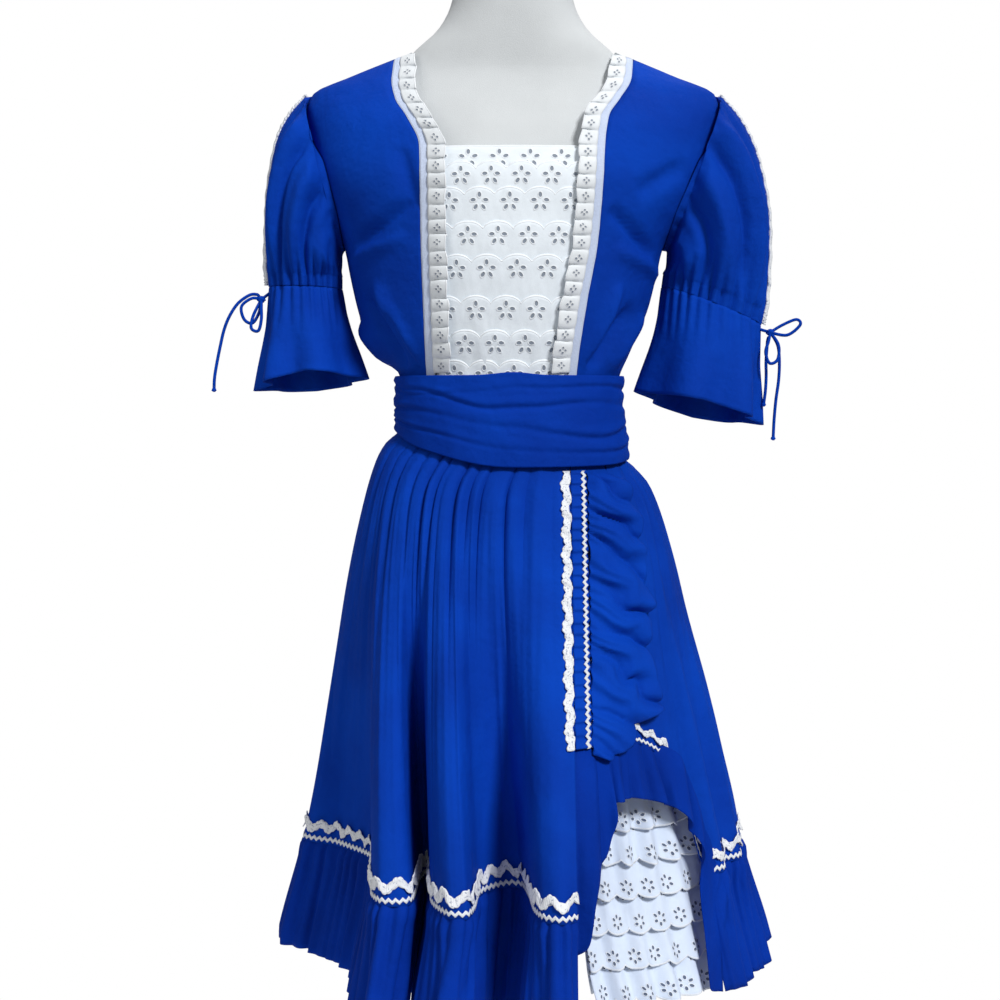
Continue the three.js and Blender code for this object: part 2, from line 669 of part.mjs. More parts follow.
function bodiceWall(grid, side, face) {
  const seam = SEAM_GAP / 2;
  return wallOn(grid, CLOTH, (point) => {
    point.y = face === 'front' ? Math.min(point.y, -seam) : Math.max(point.y, seam);
    if (face === 'back') point.x = side === 'right' ? Math.min(point.x, -seam) : Math.max(point.x, seam);
    return point;
  });
}

function buildBodice() {
  for (const side of ['right', 'left']) {
    for (const face of ['front', 'back']) {
      add(`bodice_${face}_${side}`, bodiceWall(bodiceGrid(side, face), side, face), blueCotton);
    }
  }
}

// Neckline: the smooth band beside the bodice, and the gathered ruffle that starts at its inner edge.
const RUFFLE_STEPS = 3;
const RUFFLE_START = 2;
const RUFFLE_WAVE = { root: 0.5, edge: 2.2, rootOut: 1.6, edgeOut: 6 };

const neckZ = (row) => bodiceZ(row, SHOULDER_NECK_Z);

// A strip along the front neckline, at a distance inwards from its outer edge.
function neckPoint(side, z, inward, out) {
  const point = onBody(side, 'front', neckAngle(side, z, inward), z, out);
  point.y = Math.min(point.y, -SEAM_GAP / 2);
  return point;
}

// A strip along the back neckline, from the wearer's left shoulder to the right one.
function backNeckPoint(share, inward, out) {
  const stretches = BODICE_COLUMNS;
  const low = Math.min(Math.floor(share * stretches), stretches - 1);
  const near = backNeckNode(low / stretches, inward, out);
  const far = backNeckNode((low + 1) / stretches, inward, out);
  return near.lerp(far, share * stretches - low);
}

function backNeckNode(share, inward, out) {
  const turn = 1 - 2 * share;
  const x = turn * neckline[turn > 0 ? 'left' : 'right'](SHOULDER_NECK_Z);
  const reach = x > 0 ? neckline.left(SHOULDER_NECK_Z) : neckline.right(SHOULDER_NECK_Z);
  const ratio = Math.abs(x) / reach;
  const z = lerp(BACK_NECK_Z, SHOULDER_NECK_Z, ratio ** 2);
  const side = x > 0 ? 'left' : 'right';
  const point = onBody(side, 'back', angleAt(body[side](z), Math.abs(x)), z, out);
  const shrink = 1 - (0.45 * inward) / reach;
  point.x *= shrink;
  point.y = Math.max(point.y * shrink, SEAM_GAP / 2);
  point.z += inward * 0.85;
  return point;
}

function buildNeckline() {
  const steps = (BODICE_ROWS - RUFFLE_START) * RUFFLE_STEPS;
  for (const side of ['right', 'left']) {
    const outward = side === 'right' ? [0, 1] : [1, 0];
    const band = makeGrid({
      columns: 1,
      rows: BODICE_ROWS,
      point: (i, j) => neckPoint(side, neckZ(j), outward[i] === 0 ? SEAM_GAP : BAND_WIDTH, 0),
    });
    const flat = (point) => {
      point.y = Math.min(point.y, -SEAM_GAP / 2);
      return point;
    };
    add(`neck_band_${side}`, wallOn(band, LACE, flat), whiteBand);

    const ruffle = makeGrid({
      columns: 1,
      rows: steps,
      point: (i, j) => {
        const free = outward[i] === 1;
        const wave = (j % 2 === 0 ? 1 : -1) * (free ? RUFFLE_WAVE.edge : RUFFLE_WAVE.root);
        const out = (free ? RUFFLE_WAVE.edgeOut : RUFFLE_WAVE.rootOut) + wave;
        const inward = BAND_WIDTH + 4 * SEAM_GAP + (free ? RUFFLE_WIDTH : 0);
        const low = Math.min(Math.floor(j / RUFFLE_STEPS) + RUFFLE_START, BODICE_ROWS - 1);
        const share = j / RUFFLE_STEPS + RUFFLE_START - low;
        const lower = neckPoint(side, neckZ(low), inward, out);
        const upper = neckPoint(side, neckZ(low + 1), inward, out);
        return lower.lerp(upper, share);
      },
    });
    add(`neck_ruffle_${side}`, wallOn(ruffle, LACE, flat), whiteTrim);
  }
  const behind = (point) => {
    point.y = Math.max(point.y, SEAM_GAP / 2);
    return point;
  };
  const backBand = makeGrid({
    columns: 2 * BODICE_COLUMNS,
    rows: 1,
    point: (i, j) => backNeckPoint(i / (2 * BODICE_COLUMNS), j === 0 ? 0.6 : BAND_WIDTH, 0),
  });
  add('neck_band_back', wallOn(backBand, LACE, behind), whiteBand);
  const backRuffle = makeGrid({
    columns: 24,
    rows: 1,
    point: (i, j) => {
      const wave = (i % 2 === 0 ? 1 : -1) * (j === 1 ? RUFFLE_WAVE.edge : RUFFLE_WAVE.root);
      const inward = BAND_WIDTH + 3 * SEAM_GAP + j * (RUFFLE_WIDTH - 3);
      return backNeckPoint(i / 24, inward, 1.5 + j * 2 + wave);
    },
  });
  add('neck_ruffle_back', wallOn(backRuffle, LACE, behind), whiteTrim);
}

// Front inset: rows of eyelet edging, each with scallops that point up.
const PANEL = { columns: 12, rowPitch: 34, lowest: 1060, arch: 12, relief: 1.3, inset: 5.8 };

function buildPanel() {
  const levels = [WAIST_SEAM_Z];
  for (let z = PANEL.lowest; z < PANEL_TOP_Z - PANEL.arch; z += PANEL.rowPitch) {
    levels.push(z, z + PANEL.arch);
  }
  levels.push(PANEL_TOP_Z);
  const plainPoint = (i, j, out) => {
    const z = levels[j];
    const share = i / PANEL.columns;
    const inset = BAND_WIDTH + PANEL.inset;
    const x = lerp(-(neckline.right(z) - inset), neckline.left(z) - inset, share);
    const side = x < 0 ? 'right' : 'left';
    return onBody(side, 'front', angleAt(body[side](z), Math.abs(x)), z, out);
  };
  const reliefAt = (i, j) => {
    const edge = Math.min(i, PANEL.columns - i);
    if (edge < 2 || j === 0 || j === levels.length - 1) return 0;
    const row = Math.floor((j - 1) / 2);
    const between = i % 3 === row % 3;
    return (j - 1) % 2 === 1 && !between ? PANEL.relief : 0;
  };
  const grid = makeGrid({
    columns: PANEL.columns,
    rows: levels.length - 1,
    point: (i, j) => plainPoint(i, j, -LACE + reliefAt(i, j)),
  });
  const plain = (moved, i, j) => plainPoint(i, j, -LACE - CLOTH);
  add('front_panel', wallOn(grid, CLOTH, plain), whiteEyelet);
}

// Sleeves, cuffs, and the lace strip down the outside of each sleeve.
function armholePoint(side, theta) {
  const z = lerp(ARMPIT_Z, SHOULDER_TIP_Z, (1 + Math.cos(theta)) / 2);
  const face = Math.sin(theta) >= 0 ? 'front' : 'back';
  let row = 1;
  while (row < BODICE_ROWS && bodiceZ(row, SHOULDER_TIP_Z) < z) row += 1;
  const low = bodiceZ(row - 1, SHOULDER_TIP_Z);
  const high = bodiceZ(row, SHOULDER_TIP_Z);
  const edge = (level) => {
    const turned = smooth(BODICE_LEVELS.at(-1), SHOULDER_TIP_Z, level);
    return onBody(side, face, lerp(outerAngle(side, level), 90, turned), level);
  };
  const point = edge(low).lerp(edge(high), (z - low) / (high - low));
  point.x += signOf(side) * ARMHOLE_GAP;
  return point;
}

function hoopPoint(side, hoop, theta, out) {
  const outward = (1 + Math.cos(theta)) / 2;
  const middleX = (hoop.outX + hoop.inX) / 2;
  const middleZ = (hoop.outZ + hoop.inZ) / 2;
  const halfX = (hoop.outX - hoop.inX) / 2;
  const halfZ = (hoop.outZ - hoop.inZ) / 2;
  const c = Math.cos(theta);
  const s = Math.sin(theta);
  const tilt = Math.hypot(halfX, halfZ);
  const point = new THREE.Vector3(
    signOf(side) * (middleX + halfX * c * (1 + out / tilt)),
    -(hoop.depth + out) * s,
    middleZ + halfZ * c * (1 + out / tilt));
  const face = s > 0 ? hoop.frontZ : hoop.backZ;
  if (face !== undefined) point.z += (face - middleZ) * Math.abs(s) * (1 - Math.abs(2 * outward - 1) * 0.4);
  return point;
}

function sleeveGrid(side) {
  const { rings } = SLEEVES[side];
  return makeGrid({
    columns: SLEEVE_COLUMNS,
    rows: rings.length,
    closed: true,
    side: side === 'right' ? -1 : 1,
    point: (i, j) => {
      const theta = (2 * Math.PI * i) / SLEEVE_COLUMNS;
      if (j === 0) return armholePoint(side, theta);
      const ring = rings[j - 1];
      const gather = (i % 2 === 0 ? 1 : -1) * ring.puff;
      return hoopPoint(side, ring, theta, gather);
    },
  });
}

function buildSleeves() {
  for (const side of ['right', 'left']) {
    const grid = sleeveGrid(side);
    add(`sleeve_${side}`, wallOn(grid, CLOTH), blueCotton);

    const lace = makeGrid({
      columns: 1,
      rows: grid.rows,
      side: side === 'right' ? -1 : 1,
      point: (i, j) => {
        const across = i === 0 ? -0.92 : -0.08;
        const along = clamp(j, 0.45, grid.rows - 0.15);
        return grid.over(across, along, LACE + LAYER_GAP);
      },
    });
    add(`sleeve_lace_${side}`, wallOn(lace, LACE), whiteTrim);

    const { cuff } = SLEEVES[side];
    const flounce = makeGrid({
      columns: SLEEVE_COLUMNS,
      rows: cuff.length - 1,
      closed: true,
      side: side === 'right' ? -1 : 1,
      point: (i, j) => {
        const theta = (2 * Math.PI * i) / SLEEVE_COLUMNS;
        const gather = j === 0 ? (i % 2 === 0 ? 1 : -1) : Math.cos(CUFF_WAVES * theta + 0.6);
        return hoopPoint(side, cuff[j], theta, gather * cuff[j].wave);
      },
    });
    add(`cuff_flounce_${side}`, wallOn(flounce, CLOTH), blueCotton);
  }
}

// Cords of the sleeve ties.
const LOOP_STEPS = 8;
const CORD_SIDES = 8;

function cordSolid(points, steps = 0) {
  const path = new THREE.CatmullRomCurve3(points.map(([x, y, z]) => new THREE.Vector3(x, y, z)));
  const radius = CORD_DIAMETER / 2;
  const section = new THREE.Shape();
  for (let k = 0; k < CORD_SIDES; k += 1) {
    const angle = (2 * Math.PI * k) / CORD_SIDES;
    const method = k === 0 ? 'moveTo' : 'lineTo';
    section[method](radius * Math.cos(angle), radius * Math.sin(angle));
  }
  section.closePath();
  const byLength = Math.max(6, Math.round(path.getLength() / (CORD_DIAMETER * 3)));
  return new THREE.ExtrudeGeometry(section, { steps: steps || byLength, extrudePath: path });
}

function buildTies() {
  for (const { side, knot, stub, loops, tails } of TIES) {
    const ball = new THREE.SphereGeometry(KNOT_RADIUS, 8, 6);
    ball.translate(...knot);
    let bow = toSolid(ball);
    bow = bow.add(toSolid(cordSolid([knot, stub], 1)));
    for (const loop of loops) bow = bow.add(toSolid(cordSolid(loop, LOOP_STEPS)));
    add(`tie_bow_${side}`, fromSolid(bow), blueCotton);
    tails.forEach((tail, index) => {
      add(`tie_tail_${side}_${index + 1}`, cordSolid(tail), blueCotton);
    });
  }
}

// Cummerbund: a plain inside, with long soft creases raised on the outside.
function buildCummerbund() {
  const rows = CUMMERBUND_FOLDS.length - 1;
  const angleOf = (i) => (360 * i) / CUMMERBUND_COLUMNS;
  const zOf = (i, j) => {
    const angle = angleOf(i);
    const peak = CUMMERBUND_TOP_Z + 3 * Math.exp(-((turnOf(angle) / 9) ** 2));
    return lerp(beltEdge(angle), peak, j / rows);
  };
  const grid = makeGrid({
    columns: CUMMERBUND_COLUMNS,
    rows,
    closed: true,
    point: (i, j) => {
      const angle = angleOf(i);
      const drift = 0.5 + 0.5 * Math.cos(radians(2 * angle + 50 * j));
      const out = CLOTH + CUMMERBUND_FOLDS[j] * lerp(0.35, 1, drift);
      return ringPoint(belt, zOf(i, j), angle, zOf(i, j), out);
    },
  });
  const plain = (moved, i, j) => ringPoint(belt, zOf(i, j), angleOf(i), zOf(i, j));
  add('cummerbund', wallOn(grid, CLOTH, plain), blueCotton);
}

// Skirt. Drop 0 is the cummerbund's lower edge, and fall is 0 there and 1 at the hem seam.
const fallAt = (angle, z) => (beltEdge(angle) - z) / (beltEdge(angle) - SEAM_Z);
const pipeGrowth = (fall) => smooth(0.03, 1, fall) ** 1.3;

function foldDepth(angle, fall) {
  const grown = smooth(-0.1, 0.9, fall) * lerp(1, 1.25, clamp(fall - 1));
  return FOLDS.reduce((sum, fold) => {
    const turn = ((angle - fold.angle + 540) % 360) - 180;
    if (Math.abs(turn) >= fold.width) return sum;
    return sum + fold.depth * grown * 0.5 * (1 + Math.cos((Math.PI * turn) / fold.width));
  }, 0);
}

function skirtPoint(angle, z, out = 0) {
  const drop = beltEdge(angle) - z;
  const fall = fallAt(angle, z);
  const folds = drop > 0 ? foldDepth(angle, fall) - 4 * smooth(0, 1, fall) : 0;
  const point = ringPoint(skirt, drop, angle, z, folds + out);
  if (point.x >= EDGE_FOLD[0].x && angle < 90) point.y -= edgeFold(point.x) * pipeGrowth(fall);
  return point;
}

const skirtHalf = (angle, z) => skirt.left(beltEdge(angle) - z);

// The angle of a point of the skirt's front that is a distance towards the wearer's left.
function skirtAngle(x, z) {
  let angle = 20;
  for (let pass = 0; pass < 6; pass += 1) angle = angleAt(skirtHalf(angle, z), x);
  return angle;
}

const seamZ = (angle) => (angle < 60 && angle > 0 ? hitchedSeam(angle) : SEAM_Z);

function gatherDepth(i, columns, fall) {
  const ends = clamp(Math.min(i, columns - i) / 3);
  const swell = lerp(1.9, 3.4, smooth(0, 0.07, fall)) * (1 - smooth(0.1, 0.5, fall));
  return (i % 2 === 0 ? 1 : -1) * swell * ends;
}

const SIDE_SEAM_TURN = 0.06;

// The front panel by column: its share of the way from the side seam to the front edge.
const LAST_COLUMN = FRONT_COLUMNS.length - 1;

function frontShares(name, drop) {
  const edge = angleAt(skirt.left(drop), FRONT_EDGE_X) + 90;
  return FRONT_COLUMNS.map((row) => {
    const half = row[name] < 0 ? skirt.right(drop) : skirt.left(drop);
    return (90 + Math.sign(row[name]) * angleAt(half, Math.abs(row[name]))) / edge;
  });
}

const WAIST_SHARES = frontShares('waist', 0);
const SEAM_SHARES = frontShares('seam', beltEdge(0) - SEAM_Z);

function frontColumnPoint(t, z, out) {
  const low = Math.min(Math.floor(t), LAST_COLUMN - 1);
  const between = (list) => lerp(list[low], list[low + 1], t - low);
  const rough = lerp(-90, skirtAngle(FRONT_EDGE_X, z), between(SEAM_SHARES));
  const fall = fallAt(rough, z);
  const share = lerp(between(WAIST_SHARES), between(SEAM_SHARES), clamp(fall));
  const angle = lerp(-90 + SIDE_SEAM_TURN, skirtAngle(FRONT_EDGE_X, z), share);
  const drop = beltEdge(angle) - z;
  const inset = drop > 0 ? 4 * smooth(0, 1, fall) : 0;
  const point = ringPoint(skirt, drop, angle, z, out - inset);
  const ahead = between(FRONT_COLUMNS.map((row) => row.out)) * pipeGrowth(fall);
  point.y = Math.min(point.y - ahead, 0.2 * point.y);
  return point;
}

// Heights of a skirt column: the waist, the cummerbund's edge, the levels between, the trim, the seam.
function skirtHeights(edge, seam) {
  const levels = SKIRT_LEVELS.map((level) => lerp(edge - 0.5, seam + TRIM_ROOM, level));
  return [WAIST_Z - SEAM_GAP, ...levels, seam + TRIM_ROOM, seam].reverse();
}

function backGrid() {
  const columns = BACK_GATHERS * 2;
  return makeGrid({
    columns,
    rows: SKIRT_LEVELS.length + 2,
    point: (i, j) => {
      const share = i / columns;
      const rough = backAngle(share, (WAIST_Z + SEAM_Z) / 2);
      const heights = skirtHeights(beltEdge(rough), seamZ(backAngle(share, seamZ(rough))));
      const z = heights[j];
      const angle = backAngle(share, z);
      return skirtPoint(angle, z, gatherDepth(i, columns, Math.max(fallAt(angle, z), 0)));
    },
  });
}

function frontGrid() {
  return makeGrid({
    columns: LAST_COLUMN,
    rows: SKIRT_LEVELS.length + 2,
    point: (i, j) => {
      const rough = lerp(-90, skirtAngle(FRONT_EDGE_X, WAIST_Z), WAIST_SHARES[i]);
      const z = skirtHeights(beltEdge(rough), SEAM_Z)[j];
      return frontColumnPoint(i, z, gatherDepth(i, LAST_COLUMN, Math.max(fallAt(rough, z), 0)));
    },
  });
}

// Keeps the inside of a front or back piece on its own side of the side seam.
function parted(place) {
  return (point) => {
    if (point.x < 0 && Math.abs(point.y) < CLOTH) point.y = place * Math.max(point.y * place, SEAM_GAP / 2);
    return point;
  };
}
const backAngle = (share, z) =>
  lerp(skirtAngle(drapeEdge.panel(z), z), 270 - SIDE_SEAM_TURN, share);

// The two rows of trim above the hem seam, as shares of the trim's room.
const HEM_TRIMS = [
  { name: 'hem_lace', low: 0.46, high: 0.86, wave: 1.1, finish: whiteTrim },
  { name: 'hem_rickrack', low: 0.06, high: 0.18, wave: 0, finish: whiteTrim },
];

function hemTrim(grid, trim, place) {
  const strip = makeGrid({
    columns: grid.columns,
    rows: 1,
    point: (i, j) => {
      const wave = (i % 2 === 0 ? 1 : -1) * trim.wave;
      return grid.over(i, j === 0 ? trim.low : trim.high, LACE + LAYER_GAP + trim.wave + wave);
    },
  });
  return wallOn(strip, LACE, parted(place));
}

const FLOUNCE_SHARES = [0, 0.55, 1];
const FLOUNCE_WAVES = [4.2, 3, 1.6];

function flounceWave(i, j, columns) {
  const ends = clamp(Math.min(i, columns - i) / 2);
  return (i % 2 === 0 ? 1 : -1) * FLOUNCE_WAVES[j] * ends;
}

function backFlounceGrid() {
  const columns = BACK_FLOUNCE_GATHERS * 2;
  const angleOf = (share, z) => {
    const near = clamp(skirtAngle(FLOUNCE_START.x, z), FLOUNCE_START.angle, 60);
    return lerp(near, 270 - SIDE_SEAM_TURN, share);
  };
  return makeGrid({
    columns,
    rows: 2,
    point: (i, j) => {
      const share = i / columns;
      const start = angleOf(share, SEAM_Z);
      const room = start > 0 && start < 60 ? 4 * SEAM_GAP : 1.5 * SEAM_GAP;
      const z = lerp(HEM_Z, seamZ(start) - room, FLOUNCE_SHARES[j]);
      return skirtPoint(angleOf(share, z), z, flounceWave(i, j, columns));
    },
  });
}

function frontFlounceGrid() {
  const columns = LAST_COLUMN * 2;
  return makeGrid({
    columns,
    rows: 2,
    point: (i, j) => {
      const z = lerp(HEM_Z, SEAM_Z - 1.5 * SEAM_GAP, FLOUNCE_SHARES[j]);
      return frontColumnPoint(i / 2, z, flounceWave(i, j, columns));
    },
  });
}

function buildSkirt() {
  const front = frontGrid();
  const back = backGrid();
  add('skirt_front', wallOn(front, CLOTH, parted(-1)), blueCotton);
  add('skirt_back', wallOn(back, CLOTH, parted(1)), blueCotton);
  for (const trim of HEM_TRIMS) {
    add(`${trim.name}_front`, hemTrim(front, trim, -1), trim.finish);
    add(`${trim.name}_back`, hemTrim(back, trim, 1), trim.finish);
  }
  add('hem_flounce_front', wallOn(frontFlounceGrid(), CLOTH, parted(-1)), blueCotton);
  add('hem_flounce_back', wallOn(backFlounceGrid(), CLOTH, parted(1)), blueCotton);
  buildFrontEdge();
}

// A point of the skirt's front by its distance from the middle, its height and how far it stands out.
const frontPoint = (x, z, out) => skirtPoint(skirtAngle(x, z), z, out);

// Shirred strip, its lace and rickrack, and the drape that hangs from it.
function buildFrontEdge() {
  const rows = SHIRR.gathers * 2;
  const zOf = (share) => lerp(SHIRR_BOTTOM_Z, DRAPE_TOP_Z, share);
  const shirr = makeGrid({
    columns: 1,
    rows,
    point: (i, j) => {
      const x = i === 0 ? SHIRR.outerX : SHIRR.innerX;
      const out = (j % 2 === 0 ? 1 : -1) * SHIRR.depth;
      return frontPoint(x, zOf(j / rows), out);
    },
  });
  add('shirred_strip', wallOn(shirr, SHIRR.thickness), blueCotton);

  for (const { name, outerX, innerX, rows: trimRows, out, waveOuter, waveInner } of SHIRR_TRIMS) {
    const strip = makeGrid({
      columns: 1,
      rows: trimRows,
      point: (i, j) => {
        const wave = (j % 2 === 0 ? 1 : -1) * (i === 0 ? waveOuter : waveInner);
        const z = lerp(SHIRR_BOTTOM_Z, SHIRR_TRIM_TOP_Z, j / trimRows);
        return frontPoint(i === 0 ? outerX : innerX, z, out + wave);
      },
    });
    add(name, wallOn(strip, LACE), whiteTrim);
  }

  const hemOfDrape = column(DRAPE_HEM, 'x', 'z');
  const drape = makeGrid({
    columns: DRAPE.columns,
    rows: DRAPE.rows,
    point: (i, j) => {
      const u = i / DRAPE.columns;
      const v = j / DRAPE.rows;
      const roughZ = lerp(SHIRR_BOTTOM_Z, DRAPE_TOP_Z, v);
      const roughX = lerp(DRAPE.inner, drapeEdge.drape(roughZ), u);
      const z = lerp(hemOfDrape(roughX), DRAPE_TOP_Z, v);
      const x = lerp(DRAPE.inner, drapeEdge.drape(z), u);
      const free = smooth(0, 12, DRAPE.freeBelow - z);
      const phase = (2 * Math.PI * (DRAPE_TOP_Z - z - DRAPE.slope * (x - DRAPE.inner))) / DRAPE.pitch;
      const folds = DRAPE.depth * Math.sin(phase) * lerp(0.35, 1, Math.sin(Math.PI * clamp(u * 0.8)));
      const puff = DRAPE.base + DRAPE.puff * Math.sin(Math.PI * u * 0.75);
      return frontPoint(x, z, free * (puff + DRAPE.depth * 0.6 + folds));
    },
  });
  add('side_drape', wallOn(drape, CLOTH), blueCotton);

  const arch = columnsOf(ARCH_FLOUNCE, 'u', ['topX', 'topZ', 'hemX', 'hemZ', 'lift']);
  const archGrid = makeGrid({
    columns: ARCH_COLUMNS,
    rows: 2,
    point: (i, j) => {
      const u = i / ARCH_COLUMNS;
      const share = [1, 0.5, 0][j];
      const x = lerp(arch.topX(u), arch.hemX(u), share);
      const sewn = arch.topX(u) < 119 ? arch.topZ(u) : seamZ(skirtAngle(arch.topX(u), arch.topZ(u)));
      const z = lerp(Math.min(sewn, arch.topZ(u)) - ARCH_SEAM_GAP, arch.hemZ(u), share);
      const wave = (i % 2 === 0 ? 1 : -1) * lerp(1.2, 4.5, share);
      return frontPoint(x, z, wave + arch.lift(u) * share);
    },
  });
  add('arch_flounce', wallOn(archGrid, CLOTH), blueCotton);
}

// White eyelet panel behind the arch, with tiers sewn on it.
function underPoint(share, z, out) {
  const x = lerp(underEdge.right(z), underEdge.left(z), share);
  const inset = lerp(UNDERSKIRT.hemInset, UNDERSKIRT.topInset, smooth(700, WAIST_Z, z));
  const flute = UNDERSKIRT.fluteDepth * Math.cos(2 * Math.PI * UNDERSKIRT.flutes * share)
    * smooth(800, 640, z);
  return frontPlain(x, z, out - inset + flute);
}

// The skirt's front without its folds.
function frontPlain(x, z, out) {
  const angle = skirtAngle(x, z);
  return ringPoint(skirt, beltEdge(angle) - z, angle, z, out);
}

function buildUnderskirt() {
  const panel = makeGrid({
    columns: UNDERSKIRT.columns,
    rows: UNDERSKIRT_LEVELS.length - 1,
    point: (i, j) => underPoint(i / UNDERSKIRT.columns, UNDERSKIRT_LEVELS.at(-1 - j), 0),
  });
  add('eyelet_underskirt', wallOn(panel, LACE), whiteEyelet);

  const { columns } = UNDERSKIRT;
  const perScallop = columns / UNDERSKIRT.flutes;
  for (let k = 0; k < TIER.count; k += 1) {
    const tier = makeGrid({
      columns,
      rows: 1,
      point: (i, j) => {
        const share = i / columns;
        const scallop = i % perScallop === 0 ? 4 : 0;
        const low = TIER.firstHem - k * TIER.pitch - TIER.slant * share + scallop;
        const z = j === 0 ? low : low - scallop + TIER.height;
        return underPoint(share, z, j === 0 ? TIER.stand : LACE + LAYER_GAP + 0.2);
      },
    });
    add(`eyelet_tier_${k + 1}`, wallOn(tier, LACE), whiteEyelet);
  }
}

buildForm();
buildStand();
buildBodice();
buildNeckline();
buildPanel();
buildSleeves();
buildTies();
buildCummerbund();
buildSkirt();
buildUnderskirt();

export default dress;
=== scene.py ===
"""A square dance dress on a dress form: blue cotton, white eyelet, lace and rickrack.

Shapes are worked out in millimetres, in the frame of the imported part, and laid down in metres.
The front of the dress faces -Y, and +X is the wearer's left.
"""

import logging
import math
from dataclasses import dataclass, replace
from enum import Enum
from typing import Any, Callable, Sequence

import bmesh
import bpy
import numpy as np
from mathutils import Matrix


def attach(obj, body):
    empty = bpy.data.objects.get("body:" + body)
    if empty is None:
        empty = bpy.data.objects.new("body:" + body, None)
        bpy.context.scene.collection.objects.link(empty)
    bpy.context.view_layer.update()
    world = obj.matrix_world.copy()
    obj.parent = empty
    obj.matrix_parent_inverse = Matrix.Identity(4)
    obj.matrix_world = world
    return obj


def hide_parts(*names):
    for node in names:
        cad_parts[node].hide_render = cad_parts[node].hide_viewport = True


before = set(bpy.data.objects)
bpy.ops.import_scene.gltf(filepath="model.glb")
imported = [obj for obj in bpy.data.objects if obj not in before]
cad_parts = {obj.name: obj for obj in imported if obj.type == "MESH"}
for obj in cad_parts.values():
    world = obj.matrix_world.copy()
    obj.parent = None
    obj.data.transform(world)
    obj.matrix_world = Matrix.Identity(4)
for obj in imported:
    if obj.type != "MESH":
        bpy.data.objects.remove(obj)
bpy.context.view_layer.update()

log = logging.getLogger("dress")

Array = np.ndarray
Surface = Callable[[Array, Array], Array]
Point = tuple[float, float, float]
Colour = tuple[float, float, float]

MM = 0.001
TAU = 2 * np.pi
MERGE = 1e-6
ROUND_STEPS = 96
FAR_FROM_EDGE = 99.0
ROUNDNESS = 0.92

WAIST_Z = 1012.0
SHOULDER_NECK_Z = 1400.0
SHOULDER_TIP_Z = 1360.0
ARMPIT_Z = 1190.0
YOKE_Z = 1280.0
PANEL_TOP_Z = 1289.0
BACK_NECK_Z = 1372.0
CUMMERBUND_TOP_Z = 1052.0
SEAM_Z = 544.0
HEM_Z = 432.0
SHIRR_BOTTOM_Z = 690.0
DRAPE_TOP_Z = 1006.0
FRONT_EDGE_X = 58.7
SEAM_GAP = 0.3
BAND_WIDTH = 9.5
RUFFLE_WIDTH = 18.5
CORD_RADIUS = 1.75
CREASE_GAIN = 3.0


class Side(Enum):
    """The wearer's right or left, with its sign on X."""

    RIGHT = -1
    LEFT = 1

    @property
    def word(self) -> str:
        """The side's name, as the nodes spell it."""
        return self.name.lower()


class Face(Enum):
    """The front or the back of the dress."""

    FRONT = "front"
    BACK = "back"


class Held(Enum):
    """How a piece of cloth is held."""

    HUNG = "hung"
    GATHERED = "gathered"
    DRAPED = "draped"
    FOLDED = "folded"
    LAID = "laid"


def smooth(low: float, high: float, value: Array) -> Array:
    """Ease from 0 at one value to 1 at another.

    Args:
        low: Value where the result is 0.
        high: Value where the result is 1.
        value: Where to work it out.

    Returns:
        The eased share.
    """
    t = np.clip((value - low) / (high - low), 0.0, 1.0)
    return t * t * (3 - 2 * t)


def lerp(a: Array, b: Array, t: Array) -> Array:
    """Return the point a share of the way between two values."""
    return a + (b - a) * t


def bell(value: Array) -> Array:
    """Return a round bump: 1 at 0, gone by about 2 to each side."""
    return np.exp(-(value ** 2))


def pleated(turn: Array, sharpness: float, rest: float) -> Array:
    """Return full round folds with narrow valleys, whose bottoms lie at minus the rest."""
    return 2 * np.abs(np.cos(turn / 2)) ** sharpness - rest


def zigzag(turn: Array) -> Array:
    """Return a straight-sided wave between -1 and 1."""
    return 2 / np.pi * np.arcsin(np.sin(turn))


def wrapped(degrees: Array) -> Array:
    """Return an angle brought to between -180 and 180."""
    return (degrees + 540) % 360 - 180


@dataclass(frozen=True)
class Profile:
    """A smooth function through a short table, with no overshoot."""

    keys: tuple[float, ...]
    values: tuple[float, ...]

    def __call__(self, at: Array) -> Array:
        """Work out the function.

        Args:
            at: Keys, held inside the table's range.

        Returns:
            The values there.
        """
        xs, ys = np.array(self.keys, float), np.array(self.values, float)
        slopes = np.diff(ys) / np.diff(xs)
        product, total = slopes[:-1] * slopes[1:], slopes[:-1] + slopes[1:]
        inner = np.where(product > 0, 2 * product / np.where(total == 0, 1, total), 0.0)
        tangents = np.concatenate(([slopes[0]], inner, [slopes[-1]]))
        x = np.clip(at, xs[0], xs[-1])
        i = np.clip(np.searchsorted(xs, x, side="right") - 1, 0, len(xs) - 2)
        span = xs[i + 1] - xs[i]
        t = (x - xs[i]) / span
        h00, h10 = (1 + 2 * t) * (1 - t) ** 2, t * (1 - t) ** 2
        h01, h11 = t * t * (3 - 2 * t), t * t * (t - 1)
        return h00 * ys[i] + h10 * span * tangents[i] + h01 * ys[i + 1] + h11 * span * tangents[i + 1]


def profiles(rows: Sequence[Sequence[float]]) -> list[Profile]:
    """Turn a table into one function for each column after the first.

    Args:
        rows: Rows that start with their key, in rising or falling order.

    Returns:
        A function of the key for each other column.
    """
    ordered = sorted(rows, key=lambda row: row[0])
    columns = list(zip(*ordered))
    return [Profile(tuple(columns[0]), tuple(column)) for column in columns[1:]]


